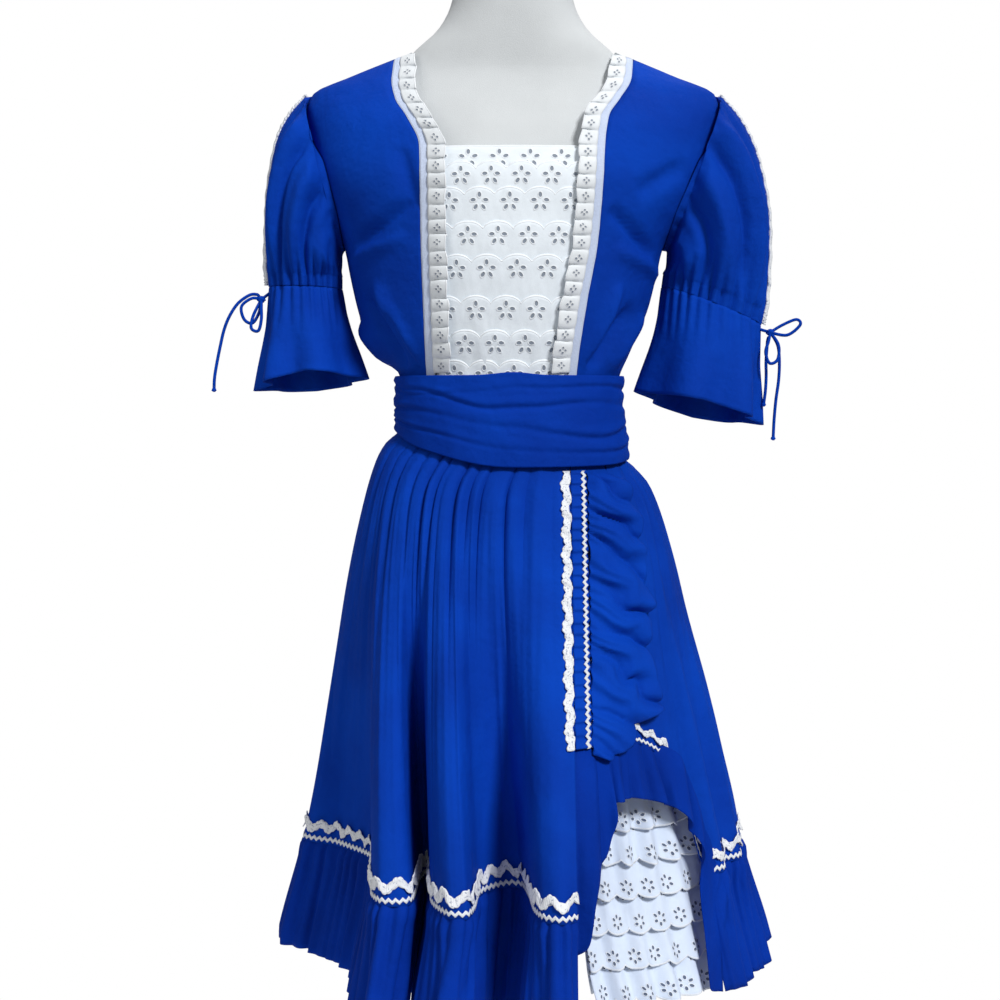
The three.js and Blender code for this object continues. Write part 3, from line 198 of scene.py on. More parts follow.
@dataclass(frozen=True)
class Ring:
    """Half-widths to each side and depths to the front and back, over one key."""

    right: Profile
    left: Profile
    front: Profile
    back: Profile

    def point(self, key: Array, angle: Array, z: Array, out: Array = 0.0) -> Array:
        """Return points round the ring.

        Args:
            key: The ring's key, such as a height.
            angle: Degrees from the front towards the wearer's left.
            z: Height of the points.
            out: How far they stand out.

        Returns:
            Points, one row each.
        """
        s, c = np.sin(np.radians(angle)), np.cos(np.radians(angle))
        half = np.where(s < 0, self.right(key), self.left(key)) + out
        deep = np.where(c > 0, self.front(key), self.back(key)) + out
        x = half * np.sign(s) * np.abs(s) ** ROUNDNESS
        y = -deep * np.sign(c) * np.abs(c) ** ROUNDNESS
        return np.stack(np.broadcast_arrays(x, y, z), axis=-1)

    def half(self, side: Side, key: Array) -> Array:
        """Return the half-width on one side."""
        return self.right(key) if side is Side.RIGHT else self.left(key)


def angle_at(half: Array, distance: Array) -> Array:
    """Return the angle at which a ring's front reaches a distance from the middle."""
    ratio = np.clip(distance / half, 0.0, 1.0) ** (1 / ROUNDNESS)
    return np.degrees(np.arcsin(ratio))


# Key, right, left, front, back.
BODY = Ring(*profiles((
    (1012, 122, 115, 97, 84), (1030, 122, 112, 97, 84), (1052, 124, 117, 98, 85), (1075, 145, 127, 104, 90),
    (1092, 159, 134, 109, 93), (1125, 170, 148, 116, 97), (1160, 178, 157, 122, 100),
    (1190, 184, 164, 125, 101), (1250, 207, 200, 126, 101), (1310, 222, 222, 106, 101),
    (1340, 226, 227, 85, 94), (1360, 220, 222, 68, 80), (1380, 178, 178, 55, 70), (1400, 129, 131, 44, 58))))
BELT = Ring(*profiles((
    (940, 128, 126, 103, 93), (975, 127, 124, 102.5, 91), (1000, 126, 119.5, 101.5, 88.5),
    (1026, 125.5, 116.5, 100.5, 87.5), (1056, 126.5, 119.5, 100.5, 87.5))))
SKIRT = Ring(*profiles((
    (-60, 120.5, 113, 95.5, 82), (0, 121.5, 119.5, 98.5, 85.3), (12, 137, 132, 105, 96),
    (34, 150, 148, 117, 110), (100, 169, 170, 141, 141), (170, 184, 186, 163, 163),
    (240, 196, 203, 185, 183), (310, 208, 219.5, 206, 201), (380, 220, 236, 222, 217),
    (430, 230, 245, 231, 227), (550, 258, 275, 254, 252))))
NECKLINE = dict(zip(Side, profiles((
    (1012, 90, 64), (1059, 92, 67), (1125, 94, 76), (1191, 96, 87.5), (1257, 97, 93), (1290, 98, 95),
    (1323, 112, 100), (1345, 125, 113), (1368, 130, 126), (1400, 129, 131)))))
ARMHOLE = dict(zip(Side, profiles((
    (1190, 184, 164), (1224, 188, 173), (1250, 194, 184), (1280, 202, 197), (1310, 214, 213),
    (1340, 220, 222), (1360, 220, 222)))))
BELT_EDGE = profiles((
    (-180, 985), (-90, 994), (-45, 974), (0, 956), (45, 957), (90, 964), (135, 975), (180, 985)))[0]
HITCHED_SEAM = profiles((
    (30, 690), (36, 681), (41, 667), (45, 640), (49, 600), (52, 560), (55, 544), (60, 544)))[0]
PANEL_EDGE, DRAPE_EDGE = profiles((
    (1012, 96, 95.2), (958, 98, 96.8), (948, 99.9, 98.2), (938, 101, 111), (926, 104, 117),
    (896, 110, 124), (852, 115, 129), (819, 116, 136), (790, 117, 131), (747, 118, 136), (715, 119, 145),
    (690, 120, 146)))
DRAPE_HEM = profiles(((76, 684), (90, 678), (104, 682), (120, 704), (146, 714)))[0]
UNDER_RIGHT, UNDER_LEFT = profiles((
    (1004, 44, 90), (900, 56, 130), (760, 62, 170), (640, 68, 191), (570, 67, 206), (520, 74, 214),
    (480, 77, 218), (430, 86, 221)))
# Share along the arch, then the sewn edge, the free edge and how far that edge lifts.
ARCH = profiles((
    (0, 52, 687, 46, 502, -14), (0.07, 66, 685, 70, 514, -8), (0.14, 77, 680, 78, 562, -3),
    (0.22, 84, 677, 93, 600, 2), (0.32, 96, 676, 99, 638, 6), (0.46, 112, 685, 116, 637, 8),
    (0.6, 130, 684, 140, 628, 8), (0.72, 148, 669, 160, 616, 7), (0.84, 166, 640, 180, 588, 5),
    (0.92, 182, 606, 189, 556, 2), (0.96, 196, 575, 195, 442, 0), (1, 213, 562, 211, 434, -3)))
EDGE_FOLD = profiles(((44, 78), (58.7, 70), (76, 58), (100, 36), (130, 12), (155, 0)))[0]
# Angle, half the width in degrees, and depth of the large folds at the side and back.
FOLDS = ((59, 6, 10), (73, 7, 12), (90, 10, 12), (113, 10, 14), (136, 10, 13), (158, 9, 15), (180, 10, 13),
         (203, 10, 15), (226, 10, 13), (249, 9, 11))
# The front panel's columns: distance from the middle at the waist and seam, and stand of the pipe folds.
FRONT_COLUMNS = (
    (-200, -300, 0), (-120, -222, -56), (-117.5, -208, -81), (-114.5, -186, -104), (-111, -165, -102),
    (-107, -146, -84), (-102.5, -139, 30), (-97.5, -127, 48), (-92, -112, 43), (-86, -99, 25),
    (-80, -95.5, -40), (-73.5, -90, -66), (-67, -84.5, -60), (-60.5, -81, 20), (-54, -72, 48),
    (-47, -58, 64), (-40, -46, 62), (-33, -39, 40), (-26, -35, -6), (-18, -24, -26), (-9, -4, -42),
    (0, 8, -38), (9, 15, -2), (20, 19, 42), (32, 28, 68), (45, 44, 78), (58.7, 58.7, 70))
LAST_COLUMN = len(FRONT_COLUMNS) - 1


def belt_edge(angle: Array) -> Array:
    """Return the height of the cummerbund's lower edge at an angle."""
    return BELT_EDGE(np.where(np.asarray(angle) > 180, np.asarray(angle) - 360, angle))


def fall_at(angle: Array, z: Array) -> Array:
    """Return how far down the skirt a height is: 0 at the cummerbund's edge, 1 at the hem seam."""
    return (belt_edge(angle) - z) / (belt_edge(angle) - SEAM_Z)


def pipe_growth(fall: Array) -> Array:
    """Return the share of the pipe folds' full depth that they have grown to."""
    return smooth(0.03, 1.0, fall) ** 1.3


def seam_z(angle: Array) -> Array:
    """Return the height of the hem seam, which is hitched up at the wearer's left front."""
    return np.where((angle < 60) & (angle > 0), HITCHED_SEAM(angle), SEAM_Z)


def skirt_angle(x: Array, z: Array) -> Array:
    """Return the angle of a point of the skirt's front by its distance to the wearer's left."""
    angle = np.full(np.broadcast(x, z).shape, 20.0)
    for _ in range(6):
        angle = angle_at(SKIRT.left(belt_edge(angle) - z), x)
    return angle


def skirt_point(angle: Array, z: Array, out: Array = 0.0) -> Array:
    """Return points of the skirt's side and back, with its large folds.

    Args:
        angle: Degrees from the front towards the wearer's left.
        z: Heights.
        out: How far the points stand out.

    Returns:
        Points, one row each.
    """
    drop, fall = belt_edge(angle) - z, fall_at(angle, z)
    grown = smooth(-0.1, 0.9, fall) * lerp(1.0, 1.25, np.clip(fall - 1, 0, 1))
    folds = np.zeros_like(fall)
    for middle, width, depth in FOLDS:
        turn = wrapped(angle - middle)
        ridge = depth * grown * 0.5 * (1 + np.cos(np.pi * turn / width))
        folds = folds + np.where(np.abs(turn) < width, ridge, 0.0)
    folds = np.where(drop > 0, folds - 4 * smooth(0, 1, fall), 0.0)
    points = SKIRT.point(drop, angle, z, folds + out)
    beside = (points[..., 0] >= EDGE_FOLD.keys[0]) & (angle < 90)
    points[..., 1] -= np.where(beside, EDGE_FOLD(points[..., 0]) * pipe_growth(fall), 0.0)
    return points


def front_point(x: Array, z: Array, out: Array = 0.0) -> Array:
    """Return points of the skirt's front, right of the front edge, by distance from the middle."""
    return skirt_point(skirt_angle(x, z), z, out)


def front_shares(index: int, drop: float) -> Profile:
    """Work out each front column's share of the way from the side seam to the front edge.

    Args:
        index: Which of the table's two distances to read.
        drop: Drop below the cummerbund where that distance holds.

    Returns:
        The share over the column's number.
    """
    edge = angle_at(SKIRT.left(drop), FRONT_EDGE_X) + 90
    shares = []
    for row in FRONT_COLUMNS:
        half = SKIRT.right(drop) if row[index] < 0 else SKIRT.left(drop)
        shares.append(float((90 + math.copysign(1, row[index]) * angle_at(half, abs(row[index]))) / edge))
    return Profile(tuple(range(LAST_COLUMN + 1)), tuple(shares))


WAIST_SHARES = front_shares(0, 0.0)
SEAM_SHARES = front_shares(1, float(BELT_EDGE(0.0)) - SEAM_Z)
PIPE_DEPTHS = Profile(tuple(range(LAST_COLUMN + 1)), tuple(row[2] for row in FRONT_COLUMNS))
SIDE_SEAM_TURN = 0.06


def front_column_point(t: Array, z: Array, out: Array = 0.0) -> Array:
    """Return points of the front panel by column.

    Args:
        t: Column number, from 0 at the side seam.
        z: Heights.
        out: How far the points stand out from the middle.

    Returns:
        Points, one row each.
    """
    edge = skirt_angle(np.full_like(z, FRONT_EDGE_X), z)
    fall = fall_at(lerp(-90.0, edge, SEAM_SHARES(t)), z)
    share = lerp(WAIST_SHARES(t), SEAM_SHARES(t), np.clip(fall, 0, 1))
    angle = lerp(-90 + SIDE_SEAM_TURN, edge, share)
    drop = belt_edge(angle) - z
    inset = np.where(drop > 0, 4 * smooth(0, 1, fall), 0.0)
    points = SKIRT.point(drop, angle, z, out - inset)
    ahead = PIPE_DEPTHS(t) * pipe_growth(fall)
    points[..., 1] = np.minimum(points[..., 1] - ahead, 0.2 * points[..., 1])
    return points


def raised(surface: Surface, u: Array, v: Array, out: Array) -> Array:
    """Return points that stand off a surface along its own normal.

    Args:
        surface: The surface under them.
        u: First parameter.
        v: Second parameter.
        out: How far they stand off.

    Returns:
        Points, one row each.
    """
    step = 1e-3
    across = surface(np.minimum(u + step, 1), v) - surface(np.maximum(u - step, 0), v)
    up = surface(u, np.minimum(v + step, 1)) - surface(u, np.maximum(v - step, 0))
    normal = np.cross(across, up)
    normal /= np.maximum(np.linalg.norm(normal, axis=-1, keepdims=True), 1e-9)
    points = surface(u, v)
    facing = np.sign(np.sum(normal[..., :2] * points[..., :2])) or 1.0
    return points + normal * facing * np.asarray(out)[..., None]


@dataclass(frozen=True)
class EvenRun:
    """Even steps along a curve, in place of its own parameter."""

    shares: Array
    lengths: Array

    @classmethod
    def along(cls, surface: Surface, v: float) -> "EvenRun":
        """Measure a surface's line at one height.

        Args:
            surface: The surface.
            v: Its second parameter.

        Returns:
            The run.
        """
        u = np.linspace(0, 1, 3000)
        points = surface(u, np.full_like(u, v))
        steps = np.linalg.norm(np.diff(points, axis=0), axis=1)
        return cls(u, np.concatenate(([0.0], np.cumsum(steps))))

    @property
    def total(self) -> float:
        """The run's length in millimetres."""
        return float(self.lengths[-1])

    def __call__(self, share: Array) -> Array:
        """Return the curve's own parameter at an even share of its length."""
        return np.interp(share * self.total, self.lengths, self.shares)


@dataclass(frozen=True)
class Crease:
    """A soft trough or ridge between two places, seen from the front."""

    x0: float
    z0: float
    x1: float
    z1: float
    width: float
    depth: float

    def push(self, points: Array) -> Array:
        """Return how far the crease moves each point out.

        Args:
            points: Points in front, one row each.

        Returns:
            The distances.
        """
        x, z = points[..., 0], points[..., 2]
        dx, dz = self.x1 - self.x0, self.z1 - self.z0
        t = ((x - self.x0) * dx + (z - self.z0) * dz) / (dx * dx + dz * dz)
        held = np.clip(t, 0, 1)
        away = np.hypot(x - self.x0 - held * dx, z - self.z0 - held * dz)
        fade = np.clip(1 - (2 * np.clip(t, -0.1, 1.1) - 1) ** 4, 0, 1)
        return self.depth * CREASE_GAIN * bell(away / self.width) * fade


def creased(points: Array, creases: Sequence[Crease]) -> Array:
    """Press creases into points, away from or towards the body's middle.

    Args:
        points: Points, one row each.
        creases: What to press in.

    Returns:
        The moved points.
    """
    push = sum((crease.push(points) for crease in creases), np.zeros(points.shape[:-1]))
    flat = points[..., :2]
    direction = flat / np.maximum(np.linalg.norm(flat, axis=-1, keepdims=True), 1.0)
    moved = points.copy()
    moved[..., :2] += direction * push[..., None]
    return moved


def ripple(a: Array, b: Array, seed: float) -> Array:
    """Return a slow uneven wave between -1 and 1, the same in each run.

    Args:
        a: First coordinate, in waves.
        b: Second coordinate, in waves.
        seed: Shifts the wave.

    Returns:
        The wave's height.
    """
    wave = np.sin(TAU * (a + 0.31 * b) + seed) + 0.6 * np.sin(TAU * (1.83 * a - 0.7 * b) + 2.1 * seed)
    return (wave + 0.4 * np.sin(TAU * (3.1 * a + 1.3 * b) + 3.7 * seed)) / 2.0


class Signal:
    """A shader socket that does arithmetic, adding a Math node for each step."""

    def __init__(self, board: "Board", socket: bpy.types.NodeSocket) -> None:
        """Wrap a socket of a board's tree."""
        self.board, self.socket = board, socket

    def math(self, operation: str, *others: Any) -> "Signal":
        """Return a Math node's result on this and other values."""
        return self.board.node("ShaderNodeMath", {"operation": operation},
                               dict(enumerate((self, *others))))

    def __add__(self, other: Any) -> "Signal":
        """Return the sum."""
        return self.math("ADD", other)

    __radd__ = __add__

    def __sub__(self, other: Any) -> "Signal":
        """Return the difference."""
        return self.math("SUBTRACT", other)

    def __rsub__(self, other: Any) -> "Signal":
        """Return the difference from a number."""
        return (self * -1.0) + other

    def __mul__(self, other: Any) -> "Signal":
        """Return the product."""
        return self.math("MULTIPLY", other)

    __rmul__ = __mul__

    def __truediv__(self, other: Any) -> "Signal":
        """Return the quotient."""
        return self.math("DIVIDE", other)

    def eased(self, low: float, high: float) -> "Signal":
        """Return a smooth step from 0 at one value to 1 at another.

        Args:
            low: Value where the step starts; above high for a falling step.
            high: Value where it ends.

        Returns:
            The step.
        """
        start, end, first, last = (low, high, 0.0, 1.0) if low < high else (high, low, 1.0, 0.0)
        return self.board.node("ShaderNodeMapRange", {"interpolation_type": "SMOOTHSTEP"},
                               {0: self, 1: start, 2: end, 3: first, 4: last})

    def parts(self) -> tuple["Signal", ...]:
        """Return a vector's three parts."""
        made = self.board.node("ShaderNodeSeparateXYZ", {}, {0: self})
        return tuple(Signal(self.board, socket) for socket in made.socket.node.outputs)


class Board:
    """The node tree of a material or of the world."""

    def __init__(self, owner: bpy.types.Material | bpy.types.World) -> None:
        """Start from the one shader node of the owner's tree."""
        owner.use_nodes = True
        self.owner, self.tree = owner, owner.node_tree
        self.shader = next(n for n in self.tree.nodes if n.type in ("BSDF_PRINCIPLED", "BACKGROUND"))

    def node(self, kind: str, settings: dict[str, Any], inputs: dict[Any, Any], output: Any = 0) -> Signal:
        """Add a node.

        Args:
            kind: The node's type.
            settings: Its properties, set before its sockets.
            inputs: Values or signals by socket name or number.
            output: Which output to return.

        Returns:
            The output as a signal.
        """
        made = self.tree.nodes.new(kind)
        for key, value in settings.items():
            setattr(made, key, value)
        for key, value in inputs.items():
            self.feed(made.inputs[key], value)
        return Signal(self, made.outputs[output])

    def feed(self, socket: bpy.types.NodeSocket, value: Any) -> None:
        """Set or link a socket; a plain colour is opaque."""
        if isinstance(value, Signal):
            self.tree.links.new(value.socket, socket)
        else:
            socket.default_value = (*value, 1.0) if socket.type == "RGBA" else value

    def dress(self, **values: Any) -> None:
        """Feed the shader's sockets, by name with underscores for spaces."""
        for key, value in values.items():
            self.feed(self.shader.inputs[key.replace("_", " ").title().replace("Ior", "IOR")], value)

    def cloth_place(self) -> Signal:
        """Return the place on the cloth, in metres."""
        return self.node("ShaderNodeUVMap", {"uv_map": "UVMap"}, {})

    def body_place(self) -> Signal:
        """Return the place in the part's frame, in metres."""
        return self.node("ShaderNodeTexCoord", {}, {}, "Object")

    def noise(self, place: Signal, scale: float, detail: float = 2.0, roughness: float = 0.5) -> Signal:
        """Return noise at a scale in cells for each metre."""
        return self.node("ShaderNodeTexNoise", {},
                         {"Vector": place, "Scale": scale, "Detail": detail, "Roughness": roughness})

    def blend_colour(self, factor: Signal, low: Any, high: Any) -> Signal:
        """Mix two colours by a factor."""
        return self.node("ShaderNodeMix", {"data_type": "RGBA"}, {0: factor, 6: low, 7: high}, 2)

    def bump(self, height: Signal, distance: float, strength: float = 1.0) -> Signal:
        """Return the normal of a height, in metres."""
        return self.node("ShaderNodeBump", {}, {"Height": height, "Distance": distance,
                                                "Strength": strength})


def srgb(red: int, green: int, blue: int) -> Colour:
    """Return a colour of three bytes in linear light."""
    parts = [value / 255 for value in (red, green, blue)]
    return tuple(p / 12.92 if p <= 0.04045 else ((p + 0.055) / 1.055) ** 2.4 for p in parts)


def dimmed(colour: Colour, share: float) -> Colour:
    """Return a share of a colour."""
    return tuple(part * share for part in colour)


@dataclass(frozen=True)
class Finish:
    """A material, under its name."""

    name: str

    def material(self) -> bpy.types.Material:
        """Build the material."""
        board = Board(bpy.data.materials.new(self.name))
        self.paint(board)
        return board.owner

    def paint(self, board: Board) -> None:
        """Feed the shader."""
        raise NotImplementedError


@dataclass(frozen=True)
class BlueCotton(Finish):
    """Plain woven cotton, a little crumpled."""

    name: str = "blue_cotton"
    light: Colour = srgb(4, 66, 182)
    deep: Colour = srgb(3, 51, 156)
    weave: float = 9000.0

    def paint(self, board: Board) -> None:
        """Feed the shader."""
        body, cloth = board.body_place(), board.cloth_place()
        cloud = board.noise(body, 9.0, 3.0)
        slub = board.noise(cloth, 900.0, 2.0, 0.7)
        colour = board.blend_colour((cloud * 0.7 + slub * 0.3).eased(0.3, 0.72), self.deep, self.light)
        soft = board.noise(body, 26.0, 3.0, 0.55)
        fine = board.noise(body, 95.0, 2.0, 0.5)
        x, y, _ = cloth.parts()
        weave = (x * self.weave).math("SINE") * (y * self.weave).math("SINE")
        height = soft * 1.1 + fine * 0.3 + weave * 0.015 + slub * 0.05
        board.dress(base_color=colour, roughness=cloud * 0.12 + 0.7, normal=board.bump(height, 0.005, 0.7),
                    specular_ior_level=0.06)


@dataclass(frozen=True)
class Eyelet(Finish):
    """White cotton with embroidered flower holes in rows; the holes are painted, not cut, with grey painted
    shade inside them.
    """

    pitch: float
    row: float
    centre: float
    petals: int = 5
    reach: float = 0.0068
    hole: tuple[float, float] = (0.0026, 0.0017)
    # Painted shade inside the holes.
    inside: Colour = srgb(138, 148, 162)
    shift: float = 0.0
    stagger: float = 0.5
    cloth: Colour = srgb(240, 248, 255)
    edge_width: float = 1.6

    def paint(self, board: Board) -> None:
        """Feed the shader."""
        place = board.cloth_place()
        u, v, _ = place.parts()
        line = (v / self.row).math("FLOOR")
        px = ((u / self.pitch + line * self.stagger + self.shift).math("FRACT") - 0.5) * self.pitch
        py = ((v / self.row).math("FRACT") - self.centre) * self.row
        turn = TAU / self.petals
        angle = py.math("ARCTAN2", px) - math.pi / 2
        petal = angle - ((angle / turn + 0.5).math("FLOOR")) * turn
        radius = (px * px + py * py).math("SQRT")
        along = (radius * petal.math("COSINE") - self.reach) / self.hole[0]
        beside = (radius * petal.math("SINE")) / self.hole[1]
        oval = (along * along + beside * beside).math("SQRT")
        hole = oval.eased(1.1, 0.8)
        rim = oval.eased(0.9, 1.15) * oval.eased(1.75, 1.25)
        edge = board.node("ShaderNodeAttribute", {"attribute_name": "edge"}, {}, "Fac")
        cord = edge.eased(self.edge_width * 1.35, self.edge_width * 0.8)
        threads = board.noise(place, 2600.0, 2.0, 0.6)
        soft = board.noise(board.body_place(), 60.0, 3.0)
        colour = board.blend_colour(soft.eased(0.25, 0.75), dimmed(self.cloth, 0.93), self.cloth)
        stitched = board.blend_colour((rim + cord).math("MINIMUM", 1.0) * 0.6, colour, srgb(247, 250, 254))
        # The holes are painted a flat grey-blue: painted shade standing for the dim layer seen through them.
        final = board.blend_colour(hole, stitched, self.inside)
        height = rim * 0.5 + cord * 0.7 - hole * 0.9 + threads * 0.12 + soft * 0.5
        board.dress(base_color=final, roughness=threads * 0.1 + 0.72, normal=board.bump(height, 0.0011, 0.8),
                    sheen_weight=0.15, specular_ior_level=0.25)


@dataclass(frozen=True)
class WhiteThread(Finish):
    """White braid, lace or ribbon, with its threads running across."""

    colour: Colour
    ribs: float
    knots: float = 0.0

    def paint(self, board: Board) -> None:
        """Feed the shader."""
        place = board.cloth_place()
        u, v, _ = place.parts()
        rib = (u * (TAU * self.ribs)).math("SINE") * 0.5 + 0.5
        loops = board.noise(place, 420.0, 2.0, 0.6)
        gaps = loops.eased(0.42, 0.34) * self.knots
        shade = board.blend_colour(loops.eased(0.2, 0.8), dimmed(self.colour, 0.9), self.colour)
        # The open gaps are not cut but painted blue-grey: the cloth behind them in painted shade.
        colour = board.blend_colour(gaps, shade, srgb(126, 142, 178))
        height = rib * 0.4 + loops * (0.4 + 0.8 * self.knots) - gaps * 0.5
        board.dress(base_color=colour, roughness=loops * 0.15 + 0.62, normal=board.bump(height, 0.0007, 0.8),
                    sheen_weight=0.1, specular_ior_level=0.3)


@dataclass(frozen=True)
class FormJersey(Finish):
    """Off-white jersey stretched over the form."""

    name: str = "form_jersey"
    colour: Colour = srgb(213, 217, 219)

    def paint(self, board: Board) -> None:
        """Feed the shader."""
        place = board.body_place()
        knit = board.noise(place, 1100.0, 2.0, 0.6)
        cloud = board.noise(place, 14.0, 3.0)
        colour = board.blend_colour(cloud.eased(0.3, 0.7) * 0.6 + knit * 0.4,
                                    dimmed(self.colour, 0.9), self.colour)
        board.dress(base_color=colour, roughness=knit * 0.1 + 0.78, normal=board.bump(knit, 0.0005, 0.6),
                    sheen_weight=0.1, specular_ior_level=0.2)


@dataclass(frozen=True)
class BrushedMetal(Finish):
    """Brushed steel of the stand."""

    name: str = "brushed_stand"
    colour: Colour = (0.55, 0.56, 0.58)

    def paint(self, board: Board) -> None:
        """Feed the shader."""
        x, y, z = board.body_place().parts()
        place = board.node("ShaderNodeCombineXYZ", {}, {0: x * 0.08, 1: y * 0.08, 2: z})
        grain = board.noise(place, 1500.0, 2.0, 0.7)
        colour = board.blend_colour(grain, dimmed(self.colour, 0.85), self.colour)
        board.dress(base_color=colour, roughness=grain * 0.2 + 0.25, normal=board.bump(grain, 0.0002, 0.5),
                    metallic=1.0)


RICKRACK = WhiteThread("white_rickrack", srgb(238, 242, 247), 900.0)
LACE = WhiteThread("white_lace", srgb(238, 241, 246), 500.0, 0.8)
RIBBON = WhiteThread("white_ribbon", srgb(208, 221, 247), 700.0)
COTTON = BlueCotton()
# A darker copy of the blue cotton for the flounces: painted shade.
FLOUNCE_PAINTED_SHADE_COTTON = replace(COTTON, name="blue_cotton_flounce", light=srgb(2, 54, 166), deep=srgb(1, 41, 138))
# A darker copy of the blue cotton for the cummerbund: painted shade.
SASH_PAINTED_SHADE_COTTON = replace(COTTON, name="blue_cotton_sash_painted_shade", light=srgb(3, 61, 174), deep=srgb(2, 46, 148))
JERSEY = FormJersey()
STEEL = BrushedMetal()
RUFFLE_EYELET = Eyelet("ruffle_eyelet", 0.0192, 0.020, 0.52, petals=4, reach=0.0025,
                       hole=(0.0011, 0.0010), stagger=0.0, cloth=srgb(234, 239, 243), edge_width=1.0)
# The same for a strip that runs upwards.
UPRIGHT_EYELET = replace(RUFFLE_EYELET, name="ruffle_eyelet_upright", pitch=0.020, row=0.0209, centre=0.5)


class Workroom:
    """Finishes the pieces, and makes each material once."""

    def __init__(self) -> None:
        """Start with no material made."""
        self.made: dict[str, bpy.types.Material] = {}

    def place(self, piece: bpy.types.Object, finish: Finish, slot: str, nodes: Sequence[str] = ()) -> None:
        """Finish a piece, let it ride on the part, and hide the nodes that it stands for.

        Args:
            piece: The piece.
            finish: Its finish, built at its first use.
            slot: The record's material slot; not used.
            nodes: CAD nodes that it replaces.
        """
        if finish.name not in self.made:
            self.made[finish.name] = finish.material()
        piece.data.materials.append(self.made[finish.name])
        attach(piece, "root")
        if nodes:
            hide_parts(*nodes)
        count = len(piece.data.polygons) if piece.type == "MESH" else 0
        log.info("%s: %d faces", piece.name, count)


def new_object(name: str, data: Any) -> bpy.types.Object:
    """Put a mesh, curve, camera or light in the scene, at the origin."""
    made = bpy.data.objects.new(name, data)
    bpy.context.collection.objects.link(made)
    return made


def shaped(name: str, bm: bmesh.types.BMesh) -> bpy.types.Object:
    """Turn a finished bmesh into a smooth object."""
    mesh = bpy.data.meshes.new(name)
    bm.to_mesh(mesh)
    bm.free()
    mesh.shade_smooth()
    return new_object(name, mesh)


def rounded_off(piece: bpy.types.Object, width: float, segments: int, degrees: float) -> bpy.types.Object:
    """Round the edges of a piece that are sharper than an angle.

    Args:
        piece: The piece.
        width: Width of the rounding in millimetres.
        segments: Faces across it.
        degrees: The angle.

    Returns:
        The piece.
    """
    bevel = piece.modifiers.new("edges", "BEVEL")
    bevel.width, bevel.segments, bevel.limit_method = width * MM, segments, "ANGLE"
    bevel.angle_limit = math.radians(degrees)
    return piece


def read(items: Any, key: str, width: int) -> Array:
    """Return one property of a mesh's vertices or faces, one row each."""
    values = np.empty(len(items) * width)
    items.foreach_get(key, values)
    return values.reshape(-1, width)


def facing_out(mesh: bpy.types.Mesh, axis: tuple[float, float]) -> None:
    """Turn a grid's faces away from an upright axis.

    Args:
        mesh: The mesh, with its vertices in place.
        axis: Where the axis stands, in millimetres.
    """
    away = read(mesh.polygons, "center", 3)[:, :2] - np.array(axis) * MM
    facing = np.sum(away * read(mesh.polygons, "normal", 3)[:, :2], axis=1)
    if np.sum(facing * read(mesh.polygons, "area", 1)[:, 0]) < 0:
        mesh.flip_normals()


@dataclass(frozen=True)
class Cut:
    """One piece of cloth, as it is cut and sewn."""

    name: str
    columns: int
    rows: int
    flat: tuple[float, float]
    slot: str
    nodes: tuple[str, ...] = ()
    thickness: float = 1.0
    closed: bool = False
    axis: tuple[float, float] = (0.0, 0.0)
    held: Held = Held.HUNG
    rests_on: tuple[str, ...] = ("form_torso",)
    sheet: bool = True

    def sew(self, room: Workroom, surface: Surface, finish: Finish,
            edge: Surface | None = None) -> None:
        """Lay a grid on a surface and give it the cloth's thickness.

        Args:
            room: Where the piece is finished.
            surface: Points in millimetres over two shares.
            finish: Its finish.
            edge: Distance from the embroidered edge in millimetres, over the same shares.
        """
        bm = bmesh.new()
        bmesh.ops.create_grid(bm, x_segments=self.columns, y_segments=self.rows, size=0.5)
        piece = shaped(self.name, bm)
        mesh = piece.data
        shares = read(mesh.vertices, "co", 3) + 0.5
        u, v = np.clip(shares[:, 0], 0, 1), np.clip(shares[:, 1], 0, 1)
        corners = np.empty(len(mesh.loops), dtype=np.int32)
        mesh.loops.foreach_get("vertex_index", corners)
        places = np.stack((u[corners] * self.flat[0], v[corners] * self.flat[1]), axis=1)
        mesh.uv_layers.new(name="UVMap").data.foreach_set("uv", places.ravel())
        away = np.full(len(u), FAR_FROM_EDGE) if edge is None else np.asarray(edge(u, v), float)
        mesh.attributes.new("edge", "FLOAT", "POINT").data.foreach_set("value", away)
        mesh.vertices.foreach_set("co", (surface(u, v) * MM).ravel())
        mesh.update()
        facing_out(mesh, self.axis)
        if self.closed:
            bm = bmesh.new()
            bm.from_mesh(mesh)
            rim = [vert for vert in bm.verts if vert.is_boundary]
            bmesh.ops.remove_doubles(bm, verts=rim, dist=MERGE)
            bm.to_mesh(mesh)
            bm.free()
        wall = piece.modifiers.new("thickness", "SOLIDIFY")
        wall.thickness, wall.offset = self.thickness * MM, -1
        room.place(piece, finish, self.slot, self.nodes)


def turned(name: str, profile: Sequence[tuple[float, float]], middle_y: float = 0.0) -> bpy.types.Object:
    """Spin a profile into a closed solid.

    Args:
        name: The piece's name.
        profile: Radius and height of each corner, from the bottom up.
        middle_y: Where its axis stands on Y.

    Returns:
        The piece.
    """
    bm = bmesh.new()
    chain = [bm.verts.new((radius * MM, middle_y * MM, z * MM)) for radius, z in profile]
    edges = [bm.edges.new(pair) for pair in zip(chain, chain[1:])]
    bmesh.ops.spin(bm, geom=chain + edges, cent=(0, middle_y * MM, 0), axis=(0, 0, 1),
                   angle=TAU, steps=ROUND_STEPS, use_merge=True)
    bmesh.ops.remove_doubles(bm, verts=bm.verts, dist=MERGE)
    bmesh.ops.recalc_face_normals(bm, faces=bm.faces)
    return rounded_off(shaped(name, bm), 1.2, 3, 40)


